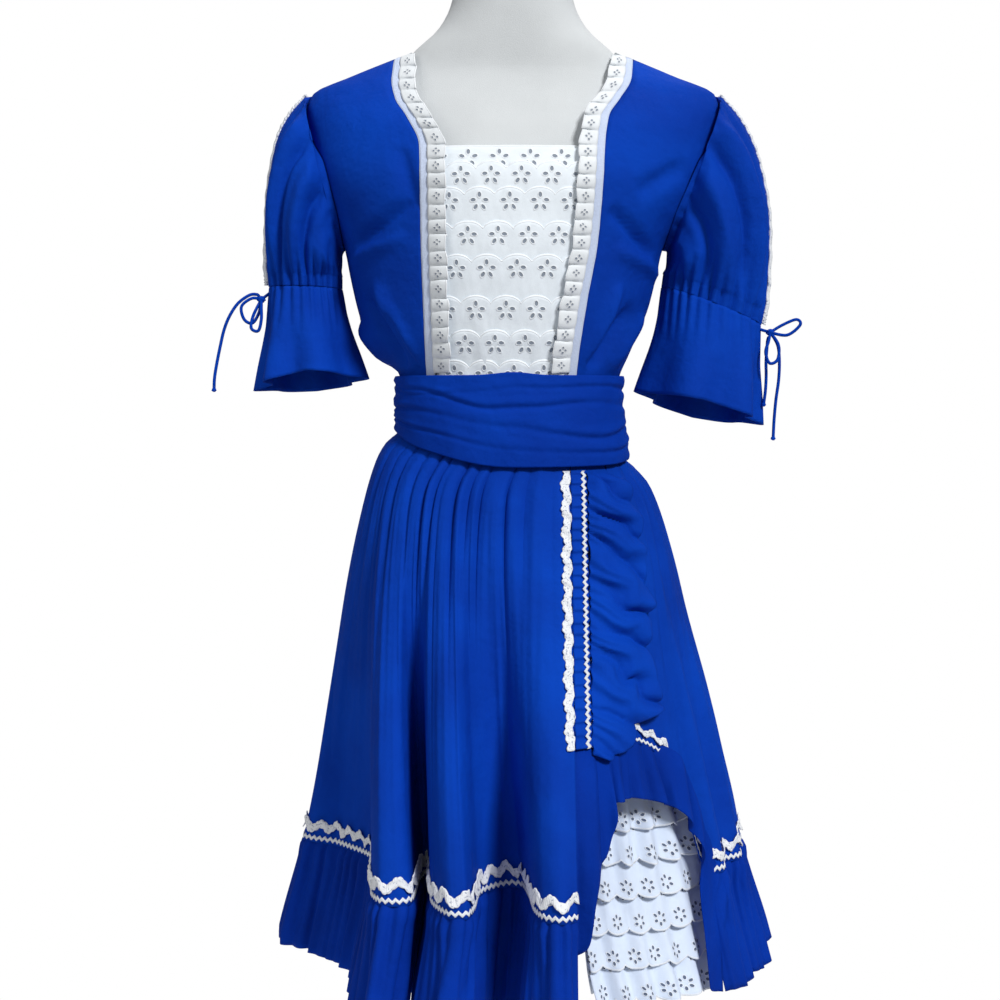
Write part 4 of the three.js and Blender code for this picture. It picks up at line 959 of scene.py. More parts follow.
@dataclass(frozen=True)
class DressForm:
    """The limbless form and its stand."""

    base_radius: float = 180.0
    base_height: float = 34.0
    pole_radius: float = 16.0
    collar_radius: float = 28.0
    cap_radius: float = 56.0
    cap_height: float = 7.0
    cap_y: float = -4.0
    columns: int = 72
    rows: int = 90
    # Height, half-width, front depth and back depth.
    rings: tuple[tuple[float, ...], ...] = (
        (760, 150, 97, 107), (800, 158, 104, 116), (850, 153, 106, 116), (900, 138, 102, 106),
        (950, 110, 87, 80), (1010, 102, 84, 73), (1060, 108, 88, 76), (1092, 124, 97, 83),
        (1125, 138, 104, 87), (1160, 147, 110, 90), (1190, 154, 114, 91), (1250, 174, 114, 91),
        (1310, 186, 94, 90), (1340, 180, 76, 80.6), (1360, 162.6, 64, 66.6), (1385, 128.6, 56, 50.6),
        (1408, 108, 56, 48), (1432, 82, 56, 48), (1456, 69, 56, 48), (1490, 61, 54, 46))

    def build(self, room: Workroom) -> None:
        """Build the torso, the cap, the base and the pole."""
        low, high = self.rings[0][0], self.rings[-1][0]
        room.place(self.torso(low, high), JERSEY, "form_cloth", ("form_torso",))
        top = high + SEAM_GAP
        cap = turned("form_neck_cap_cloth", (
            (0, top), (self.cap_radius, top), (self.cap_radius, top + self.cap_height - 3),
            (self.cap_radius - 5, top + self.cap_height), (0, top + self.cap_height)), self.cap_y)
        room.place(cap, JERSEY, "form_cloth", ("form_neck_cap",))
        base = turned("stand_base_plate", (
            (0, 0), (self.base_radius - 4, 0), (self.base_radius, 4), (self.base_radius - 2, 10),
            (60, 17), (32, 24), (28, self.base_height), (0, self.base_height)))
        room.place(base, STEEL, "stand_metal", ("stand_base",))
        foot, head = self.base_height + SEAM_GAP, low - SEAM_GAP
        pole = turned("stand_pole_tube", (
            (0, foot), (self.pole_radius, foot), (self.pole_radius, head - 40),
            (self.collar_radius, head - 38), (self.collar_radius, head), (0, head)))
        room.place(pole, STEEL, "stand_metal", ("stand_pole",))

    def torso(self, low: float, high: float) -> bpy.types.Object:
        """Loft the torso and close its ends.

        Args:
            low: Its lowest height.
            high: Its highest height.

        Returns:
            The piece.
        """
        half, front, back = profiles(self.rings)
        bm = bmesh.new()
        bmesh.ops.create_grid(bm, x_segments=self.columns, y_segments=self.rows, size=0.5)
        shares = np.array([vert.co[:] for vert in bm.verts]) + 0.5
        z = lerp(low, high, shares[:, 1])
        points = Ring(half, half, front, back).point(z, 360 * shares[:, 0], z) * MM
        for vert, co in zip(bm.verts, points):
            vert.co = co
        bmesh.ops.remove_doubles(bm, verts=bm.verts, dist=MERGE)
        bmesh.ops.holes_fill(bm, edges=[edge for edge in bm.edges if edge.is_boundary], sides=0)
        bmesh.ops.recalc_face_normals(bm, faces=bm.faces)
        return rounded_off(shaped("form_torso_cloth", bm), 3, 4, 50)


def neck_angle(side: Side, z: Array, inward: Array = 0.0) -> Array:
    """Return the angle of the neckline's edge, or of a line inside it."""
    return angle_at(BODY.half(side, z), NECKLINE[side](z) - inward)


def outer_angle(side: Side, z: Array) -> Array:
    """Return the angle of the side seam below the armpit, and of the armhole's edge above it."""
    open_arm = (z > ARMPIT_Z) & (z < SHOULDER_TIP_Z)
    return np.where(open_arm, angle_at(BODY.half(side, z), ARMHOLE[side](z)), 90.0)


def on_body(side: Side, face: Face, angle: Array, z: Array, out: Array = 0.0) -> Array:
    """Return points of the bodice's outside.

    Args:
        side: The wearer's side.
        face: Front or back.
        angle: Degrees from the middle of that face.
        z: Heights.
        out: How far they stand out.

    Returns:
        Points, one row each.
    """
    full = angle if face is Face.FRONT else 180 - angle
    return BODY.point(z, side.value * full, z, out)


# Flat size and area of a bodice piece's cut.
BODICE_CUTS = {Face.FRONT: ((0.165, 0.40), 0.052), Face.BACK: ((0.23, 0.39), 0.085)}


@dataclass(frozen=True)
class Bodice:
    """The four bodice pieces."""

    columns: int = 52
    rows: int = 78
    yoke_share: float = 0.69
    creases: tuple[Crease, ...] = (
        Crease(-168, 1190, -108, 1232, 7, -3.2), Crease(-176, 1172, -112, 1196, 6, 2.4),
        Crease(-160, 1138, -112, 1060, 6, -3.6), Crease(-146, 1150, -102, 1062, 7, 3.2),
        Crease(-132, 1120, -100, 1056, 4, -2.6), Crease(-170, 1110, -132, 1058, 6, 2.8),
        Crease(-120, 1290, -104, 1222, 9, -2.0), Crease(150, 1178, 100, 1226, 7, -3.0),
        Crease(158, 1160, 104, 1184, 6, 2.6), Crease(128, 1128, 84, 1060, 6, -3.6),
        Crease(112, 1150, 80, 1064, 6, 3.0), Crease(140, 1118, 104, 1058, 5, 2.6),
        Crease(102, 1108, 78, 1058, 3.5, -2.4), Crease(186, 1276, 128, 1240, 9, -2.2))

    def build(self, room: Workroom) -> None:
        """Sew the four pieces."""
        for side in Side:
            for face in Face:
                name = f"bodice_{face.value}_{side.word}"
                flat, area = BODICE_CUTS[face]
                cut = Cut(f"{name}_cloth", self.columns, self.rows, flat, "blue_cotton", (name,),
                          held=Held.DRAPED)
                cut.sew(room, self.surface(side, face), COTTON)

    def surface(self, side: Side, face: Face) -> Surface:
        """Return the surface of one piece.

        Args:
            side: The wearer's side.
            face: Front or back.

        Returns:
            The surface.
        """
        neck_x = float(NECKLINE[side](SHOULDER_NECK_Z))
        front = face is Face.FRONT
        neck_share = 0.0 if front else 0.5

        def points(u: Array, v: Array) -> Array:
            """Return the piece's surface."""
            shoulder = np.clip((u - neck_share) / (1 - neck_share), 0, 1)
            top_z = lerp(SHOULDER_NECK_Z, SHOULDER_TIP_Z, shoulder)
            top_angle = np.full_like(u, 90.0)
            if not front:
                near = u < neck_share
                reach = np.clip(u / neck_share, 0, 1)
                neck_z = lerp(BACK_NECK_Z, SHOULDER_NECK_Z, reach ** 2)
                top_z = np.where(near, neck_z, top_z)
                top_angle = np.where(near, angle_at(BODY.half(side, neck_z), neck_x * reach), 90.0)
            low = lerp(WAIST_Z + SEAM_GAP, YOKE_Z, v / self.yoke_share)
            high = lerp(YOKE_Z, top_z, (v - self.yoke_share) / (1 - self.yoke_share))
            z = np.where(v < self.yoke_share, low, high)
            inner = neck_angle(side, z) if front else np.zeros_like(u)
            across = lerp(inner, outer_angle(side, z), u)
            share = smooth(0, 1, (z - YOKE_Z) / (top_z - YOKE_Z)) * (np.clip(3 * u, 0, 1) if front else 1)
            made = on_body(side, face, lerp(across, top_angle, share), z)
            if front:
                made = creased(made, self.creases)
            else:
                pull = 1.2 * ripple(u * 2.2, v * 1.1, 1.3 * side.value)
                pull = pull * np.sin(np.pi * u) * smooth(0, 0.1, v)
                made = made + made * np.array([1, 1, 0]) * (pull / 150)[:, None]
            half_gap = SEAM_GAP / 2
            made[:, 1] += -half_gap if front else half_gap
            made[:, 1] = np.minimum(made[:, 1], -half_gap) if front else np.maximum(made[:, 1], half_gap)
            if not front:
                made[:, 0] = np.where(u < MERGE, side.value * half_gap, made[:, 0])
            return made

        return points


@dataclass(frozen=True)
class Neckline:
    """The ribbon beside the inset and round the neck, and the gathered eyelet ruffle inside it."""

    waves: int = 22
    back_waves: int = 16
    start_z: float = 1054.0

    def build(self, room: Workroom) -> None:
        """Sew the ribbons and the ruffles."""
        for side in Side:
            ribbon = Cut(f"neck_ribbon_{side.word}", 4, 90, (0.010, 0.41), "white_band",
                         (f"neck_band_{side.word}",), 0.7, held=Held.LAID)
            ribbon.sew(room, self.strip(side, WAIST_Z + 1, SEAM_GAP, BAND_WIDTH), RIBBON)
            ruffle = Cut(f"neck_frill_{side.word}", 10, 264, (0.019, 0.46), "white_trim",
                         (f"neck_ruffle_{side.word}",), 0.5, held=Held.GATHERED)
            ruffle.sew(room, self.frill(side), UPRIGHT_EYELET, self.frill_edge)
        ribbon = Cut("neck_ribbon_back", 60, 4, (0.28, 0.010), "white_band", ("neck_band_back",), 0.7,
                     held=Held.LAID)
        ribbon.sew(room, lambda u, v: self.back(u, lerp(0.6, BAND_WIDTH, v), np.zeros_like(u)), RIBBON)
        ruffle = Cut("neck_frill_back", 192, 8, (0.27, 0.016), "white_trim", ("neck_ruffle_back",), 0.5,
                     held=Held.GATHERED)
        ruffle.sew(room, self.back_frill, RUFFLE_EYELET, lambda u, v: (1 - v) * 15)

    @staticmethod
    def frill_edge(u: Array, v: Array) -> Array:
        """Return the distance from the frill's free edge."""
        return (1 - u) * RUFFLE_WIDTH

    @staticmethod
    def strip(side: Side, start_z: float, near: float, far: float) -> Surface:
        """Return a plain strip along the front neckline.

        Args:
            side: The wearer's side.
            start_z: Its lowest height.
            near: Distance of its outer edge from the neckline's edge.
            far: Distance of its inner edge.

        Returns:
            The surface.
        """
        def points(u: Array, v: Array) -> Array:
            """Return the strip's surface."""
            z = lerp(start_z, SHOULDER_NECK_Z, v)
            out = 0.5 + 0.25 * ripple(v * 14, u, 2.0)
            made = on_body(side, Face.FRONT, neck_angle(side, z, lerp(near, far, u)), z, out)
            made[:, 1] = np.minimum(made[:, 1], -SEAM_GAP / 2)
            return made

        return points

    def frill(self, side: Side) -> Surface:
        """Return the gathered ruffle of one side."""
        def points(u: Array, v: Array) -> Array:
            """Return the ruffle's surface."""
            z = lerp(self.start_z, SHOULDER_NECK_Z, v)
            turn = TAU * (self.waves * v + 0.5 + 0.16 * ripple(v * 7, 0, 1.7 * side.value))
            fold = pleated(turn, 0.7, 1.2)
            wave = fold * lerp(0.8, 3.0, u) * (1 + 0.35 * ripple(v * 6, 0, 4.1))
            out = lerp(1.8, 5.2, np.sin(u * np.pi / 2)) + wave
            round_edge = 2.2 * np.abs(np.cos(turn / 2)) + 1.6 * ripple(v * 8, u, 3.0)
            inward = BAND_WIDTH - 0.6 + u * (RUFFLE_WIDTH + round_edge)
            z = z + u * (2.6 * np.sin(turn) + 1.5 * ripple(v * 11, u, 0.6))
            made = on_body(side, Face.FRONT, neck_angle(side, z, inward), z, out)
            made[:, 1] = np.minimum(made[:, 1], -SEAM_GAP / 2)
            return made

        return points

    @staticmethod
    def back(share: Array, inward: Array, out: Array) -> Array:
        """Return points along the back neckline, from the wearer's left to the right.

        Args:
            share: Share of the way.
            inward: Distance up from the edge.
            out: How far they stand out.

        Returns:
            Points, one row each.
        """
        turn = 1 - 2 * share
        left = turn > 0
        reach = np.where(left, NECKLINE[Side.LEFT](SHOULDER_NECK_Z), NECKLINE[Side.RIGHT](SHOULDER_NECK_Z))
        z = lerp(BACK_NECK_Z, SHOULDER_NECK_Z, turn ** 2)
        half = np.where(left, BODY.left(z), BODY.right(z))
        angle = 180 - angle_at(half, np.abs(turn) * reach)
        made = BODY.point(z, np.where(left, angle, -angle), z, out)
        lean = lerp(0.45, 0.85, turn ** 2)
        shrink = 1 - lean * inward / reach
        made[:, 0] *= shrink
        made[:, 1] = np.maximum(made[:, 1] * shrink, SEAM_GAP / 2)
        made[:, 2] += inward * (1.2 - lean)
        return made

    def back_frill(self, u: Array, v: Array) -> Array:
        """Return the gathered ruffle round the back of the neck."""
        turn = TAU * (self.back_waves * u + 0.5 + 0.15 * ripple(u * 7, 0, 2.9))
        wave = np.sin(turn + 0.6 * np.sin(turn)) * lerp(0.6, 2.3, v)
        inward = BAND_WIDTH + 0.9 + v * (RUFFLE_WIDTH - 3 + 1.2 * np.cos(turn))
        return self.back(u, inward, 1.4 + 2 * v + wave)


@dataclass(frozen=True)
class FrontInset:
    """The white inset: a plain ground, and rows of edging whose scallops point up."""

    pitch: float = 31.0
    arch: float = 11.0
    inset: float = 15.3
    # Height of each row's arc tops, from the bottom up.
    tops: tuple[float, ...] = (1068, 1099, 1134, 1176, 1210, 1245, 1272)
    depth: float = 56.0
    bottom_z: float = 1030.0

    def span(self, z: Array) -> tuple[Array, Array]:
        """Return the inset's right and left edge at a height."""
        return -(NECKLINE[Side.RIGHT](z) - self.inset), NECKLINE[Side.LEFT](z) - self.inset

    def on_chest(self, x: Array, z: Array, out: Array) -> Array:
        """Return points of the chest by distance from the middle."""
        half = np.where(x < 0, BODY.right(z), BODY.left(z))
        return BODY.point(z, np.sign(x) * angle_at(half, np.abs(x)), z, out)

    def build(self, room: Workroom) -> None:
        """Sew the ground and the rows."""
        ground = Cut("inset_ground", 34, 56, (0.165, 0.277), "white_eyelet", ("front_panel",), 0.8,
                     held=Held.LAID)
        top_row = Eyelet("inset_top_eyelet", self.pitch * MM, 0.5, (PANEL_TOP_Z - 14 - WAIST_Z) * MM / 0.5,
                         shift=0.25)

        def flat(u: Array, v: Array) -> Array:
            """Return the ground's surface."""
            z = lerp(WAIST_Z + SEAM_GAP, PANEL_TOP_Z, v)
            low, high = self.span(z)
            under = self.inset - BAND_WIDTH - 0.7
            out = -1.6 + 0.3 * ripple(u * 3, v * 5, 1.0)
            return self.on_chest(lerp(low - under, high + under, u), z, out)

        ground.sew(room, flat, top_row, lambda u, v: (1 - v) * 277)
        for number, top in enumerate(self.tops):
            self.sew_row(room, number, top)

    def sew_row(self, room: Workroom, number: int, top: float) -> None:
        """Sew one row of edging.

        Args:
            room: Where it is finished.
            number: Its number from the bottom.
            top: Height of its arc tops.
        """
        low_z = max(top - self.depth, WAIST_Z + 1 if number == 0 else 0.0)
        right, left = (float(side) for side in self.span(np.array(top)))
        width, height = left - right, top - low_z
        shift = 0.5 * (number % 2) + 0.1 * number

        def top_of(u: Array) -> Array:
            """Return the height of the arcs' edge."""
            cell = (u * width / self.pitch + shift) % 1.0
            round_top = np.sqrt(np.clip(1 - (2 * cell - 1) ** 2 * 0.92, 0, 1))
            return top - self.arch * (1 - round_top)

        def points(u: Array, v: Array) -> Array:
            """Return the row's surface."""
            low, high = self.span(np.array(top))
            z = lerp(low_z, top_of(u), v)
            lift = lerp(-0.55, 1.15, smooth(0.1, 1.0, v)) + 0.35 * ripple(u * 5, v, 2.0 * number)
            crumple = 0.9 * ripple(u * 2.3, v * 0.8 + number, 5.0) * smooth(1180, 1050, z)
            return self.on_chest(lerp(low, high, u), z, lift + crumple * (1 if number < 3 else 0.5))

        cut = Cut(f"inset_row_{number + 1}", 96, 12, (width * MM, height * MM), "white_eyelet", (), 0.6,
                  held=Held.LAID, rests_on=("inset_ground",))
        flower = (height - 15.5) / height
        finish = Eyelet(f"inset_eyelet_{number + 1}", self.pitch * MM, height * MM, flower, shift=shift)
        cut.sew(room, points, finish, lambda u, v: top_of(u) - lerp(low_z, top_of(u), v))


@dataclass(frozen=True)
class SleeveShape:
    """A sleeve's rings from the cap to the casing and its cuff's rows, by number."""

    # Outer X and Z, inner X and Z, half the depth, and puff or wave.
    rings: tuple[tuple[float, ...], ...]
    # The same, and the front and back heights.
    cuff: tuple[tuple[float, ...], ...]
    # Angle, width in degrees and depth of each long fold.
    folds: tuple[tuple[float, float, float], ...]


SLEEVES = {
    Side.RIGHT: SleeveShape(
        ((1, 228, 1357, 187, 1188, 56, 1.5), (2, 243, 1340, 188, 1184, 63, 3),
         (3, 259, 1308, 188, 1180, 65, 2.5), (4, 269.5, 1235, 188, 1171, 61, 1.4),
         (5, 267, 1164, 189, 1161, 45, 2.2), (6, 266, 1150, 189, 1148, 43, 2.2)),
        ((0, 266, 1149.5, 189, 1147.5, 43, 2, 1148.5, 1148.5), (1, 271, 1092, 179, 1098, 55, 4, 1100, 1090),
         (2, 277, 1037, 166, 1048, 66, 7, 1058, 1036)),
        ((22, 7, -7), (42, 8, 7), (60, 5, -8), (84, 9, 6), (102, 6, -7), (130, 9, 5), (205, 12, -6),
         (260, 12, 6), (310, 9, -6))),
    Side.LEFT: SleeveShape(
        ((1, 229, 1357, 170, 1190, 56, 1.5), (2, 247, 1336, 170, 1184, 64, 3),
         (3, 268, 1292, 170, 1180, 66, 2.5), (4, 281, 1215, 169, 1172, 62, 1.4),
         (5, 274, 1124, 167, 1164, 47, 2.2), (6, 271, 1109, 165, 1150, 45, 2.2)),
        ((0, 270.9, 1108.4, 164.9, 1149.4, 45, 2, 1130, 1130), (1, 270, 1052, 156, 1090, 56, 4, 1078, 1066),
         (2, 268, 1001, 141, 1033, 66, 7, 1026, 1006)),
        ((24, 7, -7), (46, 8, 7), (66, 6, -8), (90, 9, 6), (112, 6, -7), (136, 8, 5), (215, 12, -6),
         (270, 12, 6), (318, 9, -6))),
}


@dataclass(frozen=True)
class Sleeve:
    """One puff sleeve, its shirred casing, its cuff flounce and its lace strip."""

    side: Side
    shirrs: int = 26
    cuff_waves: int = 6
    fold_gain: float = 1.3

    @property
    def shape(self) -> SleeveShape:
        """The sleeve's sizes."""
        return SLEEVES[self.side]

    def build(self, room: Workroom) -> None:
        """Sew the sleeve, the cuff and the lace."""
        word, axis = self.side.word, (self.side.value * 228.0, 0.0)
        tall = 0.18 if self.side is Side.RIGHT else 0.20
        puff = Cut(f"sleeve_{word}_cloth", 180, 84, (0.36, tall), "blue_cotton", (f"sleeve_{word}",),
                   closed=True, axis=axis, held=Held.GATHERED, rests_on=("form_torso",))
        puff.sew(room, self.puff, COTTON)
        cuff = Cut(f"cuff_flounce_{word}_cloth", 140, 28, (0.40, 0.10), "blue_cotton",
                   (f"cuff_flounce_{word}",), closed=True, axis=axis, held=Held.HUNG)
        cuff.sew(room, self.cuff, COTTON)
        lace = Cut(f"sleeve_lace_{word}_trim", 8, 168, (0.016, tall + 0.05), "white_trim",
                   (f"sleeve_lace_{word}",), 2.0, axis=axis, held=Held.LAID)
        lace.sew(room, self.lace, LACE)

    def hoop(self, rows: tuple[tuple[float, ...], ...], key: Array, theta: Array, out: Array) -> Array:
        """Return points of a ring between the table's rows.

        Args:
            rows: The rings.
            key: Number of the row.
            theta: Angle round the ring from its outermost line.
            out: How far they stand out.

        Returns:
            Points, one row each.
        """
        read = [column(key) for column in profiles(rows)]
        out_x, out_z, in_x, in_z, depth = read[:5]
        c, s = np.cos(theta), np.sin(theta)
        half_x, half_z = (out_x - in_x) / 2, (out_z - in_z) / 2
        middle_z = (out_z + in_z) / 2
        swell = 1 + out / np.hypot(half_x, half_z)
        x = self.side.value * ((out_x + in_x) / 2 + half_x * c * swell)
        y = -(depth + out) * s
        z = middle_z + half_z * c * swell
        if len(read) > 6:
            face = np.where(s > 0, read[6], read[7])
            z = z + (face - middle_z) * np.abs(s) * (1 - np.abs(c) * 0.4)
        return np.stack((x, y, z), axis=-1)

    def armhole(self, theta: Array) -> Array:
        """Return points round the armhole, just outside the bodice's edge."""
        z = lerp(ARMPIT_Z, SHOULDER_TIP_Z, (1 + np.cos(theta)) / 2)
        angle = lerp(outer_angle(self.side, z), 90.0, smooth(YOKE_Z, SHOULDER_TIP_Z, z))
        front = on_body(self.side, Face.FRONT, angle, z)
        back = on_body(self.side, Face.BACK, angle, z)
        made = np.where((np.sin(theta) >= 0)[:, None], front, back)
        made[:, 0] += self.side.value * 0.7
        return made

    def shirr(self, theta: Array) -> Array:
        """Return the casing's fine gathers round the arm."""
        return 2 * np.abs(np.sin(self.shirrs * theta / 2 + 0.8 * np.sin(3 * theta))) - 1.2

    def at(self, theta: Array, row: Array, out: Array = 0.0) -> Array:
        """Return points of the puff.

        Args:
            theta: Angle from the outermost line.
            row: Ring number, 0 at the armhole.
            out: How far they stand out.

        Returns:
            Points, one row each.
        """
        rings = self.shape.rings
        puff = profiles(rings)[5](row)
        degrees = np.degrees(theta) % 360
        gather = 0.55 * puff * np.cos(12 * theta)
        gather = gather + self.shirr(theta) * (3.2 * smooth(3.8, 5, row) + smooth(1.7, 1, row))
        free = smooth(0.6, 2.2, row) * smooth(5.2, 4.2, row)
        for middle, width, depth in self.shape.folds:
            turn = wrapped(degrees - middle - 5 * np.sin(row * 0.9))
            gather = gather + self.fold_gain * depth * bell(turn / width) * free
        band = 0.8 * smooth(4.9, 5.0, row)
        hoop = self.hoop(rings, np.maximum(row, 1), theta, gather - band + out)
        ring = self.armhole(theta)
        cap = np.clip(row, 0, 1)[:, None]
        return ring + (hoop - ring) * np.sin(cap * np.pi / 2) ** 0.9

    def puff(self, u: Array, v: Array) -> Array:
        """Return the sleeve's surface."""
        return self.at(TAU * u + np.pi, v * len(self.shape.rings))

    def cuff(self, u: Array, v: Array) -> Array:
        """Return the cuff's surface, from its free edge up."""
        theta, row = TAU * u + np.pi, 2 * (1 - v)
        wave = profiles(self.shape.cuff)[5](row)
        fold = np.cos(self.cuff_waves * theta + 0.6 + 0.6 * np.sin(theta))
        fold = fold * (1.0 + 0.45 * np.sin(2 * theta + 0.5))
        out = 1.15 * fold * wave * smooth(-0.3, 1.6, row) + 2.3 * self.shirr(theta) * smooth(1.2, 0.0, row)
        return self.hoop(self.shape.cuff, row, theta, out)

    def lace(self, u: Array, v: Array) -> Array:
        """Return the lace strip down the sleeve's outermost line."""
        row = lerp(5.85, 0.45, v)
        loops = 0.012 * np.abs(np.sin(np.pi * 42 * v)) * (2 * u - 1)
        theta = np.radians(lerp(-6.5, 5.0, u)) + loops
        return self.at(theta, row, lerp(6.2, 1.8, u) + 0.5 * np.sin(TAU * 22 * v))


@dataclass(frozen=True)
class Tie:
    """One sleeve's tie: a knot, two loops and its free tails."""

    side: Side
    knot: Point
    stub: Point
    loops: tuple[tuple[Point, ...], ...]
    tails: tuple[tuple[Point, ...], ...]

    def build(self, room: Workroom) -> None:
        """Make the bow, the knot and the tails, each tail a round cord with a knot at its end."""
        word = self.side.word
        bow = self.cord(f"tie_bow_{word}_cord", ((self.knot, self.stub), *self.loops))
        room.place(bow, COTTON, "blue_cotton", (f"tie_bow_{word}",))
        knot = self.ball(f"tie_knot_{word}", self.knot, 4.6)
        room.place(knot, COTTON, "blue_cotton")
        for number, tail in enumerate(self.tails):
            name = f"tie_tail_{word}_{number + 1}"
            cord = self.cord(f"{name}_cord", (tail,))
            room.place(cord, COTTON, "blue_cotton", (name,))
            end = self.ball(f"{name}_knot", tail[-1], 2.7)
            room.place(end, COTTON, "blue_cotton")

    @staticmethod
    def line(route: Sequence[Point]) -> Array:
        """Return a smooth line through a route's points.

        Args:
            route: The points in millimetres.

        Returns:
            The line's points.
        """
        points = np.array([route[0], *route, route[-1]], float)
        if len(route) == 2:
            return np.linspace(points[1], points[2], 6)
        t = np.linspace(0, 1, 8, endpoint=False)[:, None]
        made = []
        for a, b, c, d in zip(points, points[1:], points[2:], points[3:]):
            made.append(0.5 * (2 * b + (c - a) * t + (2 * a - 5 * b + 4 * c - d) * t ** 2
                               + (3 * b - a - 3 * c + d) * t ** 3))
        return np.vstack([*made, points[-1:]])

    def length(self, route: Sequence[Point]) -> float:
        """Return a route's length in millimetres."""
        return float(np.linalg.norm(np.diff(self.line(route), axis=0), axis=1).sum())

    def cord(self, name: str, routes: Sequence[Sequence[Point]]) -> bpy.types.Object:
        """Make a round cord along its routes.

        Args:
            name: The piece's name.
            routes: One or more lists of points.

        Returns:
            The piece.
        """
        curve = bpy.data.curves.new(name, "CURVE")
        curve.dimensions = "3D"
        curve.bevel_depth = CORD_RADIUS * MM
        curve.bevel_resolution = 3
        curve.use_fill_caps = True
        for route in routes:
            line = self.line(route) * MM
            spline = curve.splines.new("POLY")
            spline.points.add(len(line) - 1)
            spline.points.foreach_set("co", np.hstack((line, np.ones((len(line), 1)))).ravel())
            spline.use_smooth = True
        return new_object(name, curve)

    @staticmethod
    def ball(name: str, centre: Point, radius: float) -> bpy.types.Object:
        """Make a small knot: a round with two turns of cord pressed into it.

        Args:
            name: The piece's name.
            centre: Its middle in millimetres.
            radius: Its radius in millimetres.

        Returns:
            The piece.
        """
        bm = bmesh.new()
        bmesh.ops.create_icosphere(bm, subdivisions=3, radius=1.0)
        for vert in bm.verts:
            x, y, z = vert.co
            turn = 1 + 0.14 * math.sin(7 * z + 3 * x) * (1 - z * z)
            vert.co = [c * MM + radius * MM * value * turn for c, value in zip(centre, (x, y, 0.86 * z))]
        return shaped(name, bm)


TIES = (
    Tie(Side.RIGHT, (-275, -10, 1136), (-265.9, -8.7, 1143.1), (
        ((-275, -10, 1136), (-285, -13, 1137), (-296, -15, 1128), (-293, -16, 1114), (-284, -15, 1110),
         (-277, -13, 1122), (-275, -10, 1136)),
        ((-275, -10, 1136), (-274, -18, 1127), (-273, -25, 1113), (-276, -27, 1101), (-284, -24, 1104),
         (-283, -16, 1118), (-275, -10, 1136))), (
        ((-278.1, -6.6, 1139.3), (-281, -3.5, 1141.8), (-289, -4.5, 1141), (-301, -7, 1132),
         (-310, -9, 1118), (-316, -9, 1103), (-320, -9, 1086), (-324, -9, 1066), (-326.5, -9, 1050),
         (-327, -9, 1037)),)),
    Tie(Side.LEFT, (282, -8, 1100), (270.4, -7.2, 1103.5), (
        ((282, -8, 1100), (295, -9, 1108), (310, -11, 1114), (314, -12, 1108), (300, -11, 1097),
         (282, -8, 1100)),
        ((282, -8, 1100), (279, -15, 1090), (275, -20, 1078), (279, -22, 1066), (288, -20, 1070),
         (290, -14, 1086), (282, -8, 1100))), (
        ((280.6, -5.3, 1095.2), (279.5, -4, 1090), (279, -4, 1082), (278, -4, 1068), (278, -5, 1052),
         (277, -6, 1036), (275, -6, 1021)),
        ((285.1, -5.2, 1096.2), (287.4, -4.2, 1093), (291, -6, 1084), (292, -8, 1068), (291, -9, 1048),
         (288, -9, 1026), (286, -9, 1004), (285, -9, 984)))),
)


@dataclass(frozen=True)
class Cummerbund:
    """The wide folded sash."""

    # Each crease's height by angle, from 0 at the lower edge to 1 at the top, then its width and depth.
    creases: tuple[tuple[Profile, float, float], ...] = (
        (profiles(((-180, 0.7), (-95, 0.74), (-50, 0.80), (-8, 0.62), (40, 0.70), (95, 0.62), (180, 0.7)))[0],
         0.030, 3.0),
        (profiles(((-180, 0.45), (-95, 0.4), (-50, 0.52), (0, 0.42), (45, 0.3), (95, 0.42), (180, 0.45)))[0],
         0.034, 3.4),
        (profiles(((-180, 0.2), (-95, 0.22), (-40, 0.26), (10, 0.17), (60, 0.14), (95, 0.22), (180, 0.2)))[0],
         0.026, 2.6),
        (profiles(((-180, 0.86), (-95, 0.88), (-60, 0.72), (0, 0.84),
                   (50, 0.88), (95, 0.82), (180, 0.86)))[0],
         0.022, 2.0),
    )

    def build(self, room: Workroom) -> None:
        """Sew the sash."""
        cut = Cut("cummerbund_cloth", 250, 58, (0.69, 0.105), "blue_cotton", ("cummerbund",), closed=True,
                  held=Held.FOLDED)
        cut.sew(room, self.surface, SASH_PAINTED_SHADE_COTTON)

    def surface(self, u: Array, v: Array) -> Array:
        """Return the sash's outside."""
        angle = 360 * u - 180
        low, peak = BELT_EDGE(angle), CUMMERBUND_TOP_Z + 3 * bell(angle / 9)
        z = lerp(low, peak, v)
        out = 3.1 + 1.6 * np.sin(np.pi * np.clip(v, 0, 1)) + 0.5 * ripple(u * 5, v * 1.5, 0.4)
        for path, width, depth in self.creases:
            away = (v - path(angle)) / width
            held = 0.65 + 0.35 * np.sin(np.radians(2.3 * angle) + 9 * depth)
            fold = -depth * bell(away) + 0.55 * depth * bell((away - 2.1) / 1.6)
            out = out + fold * held * 0.8
        side = bell((np.abs(angle) - 90) / 22)
        out = out + 0.9 * side * np.sin(TAU * 5.5 * v + 0.5)
        return BELT.point(z, angle, z, np.maximum(out, 1.2))


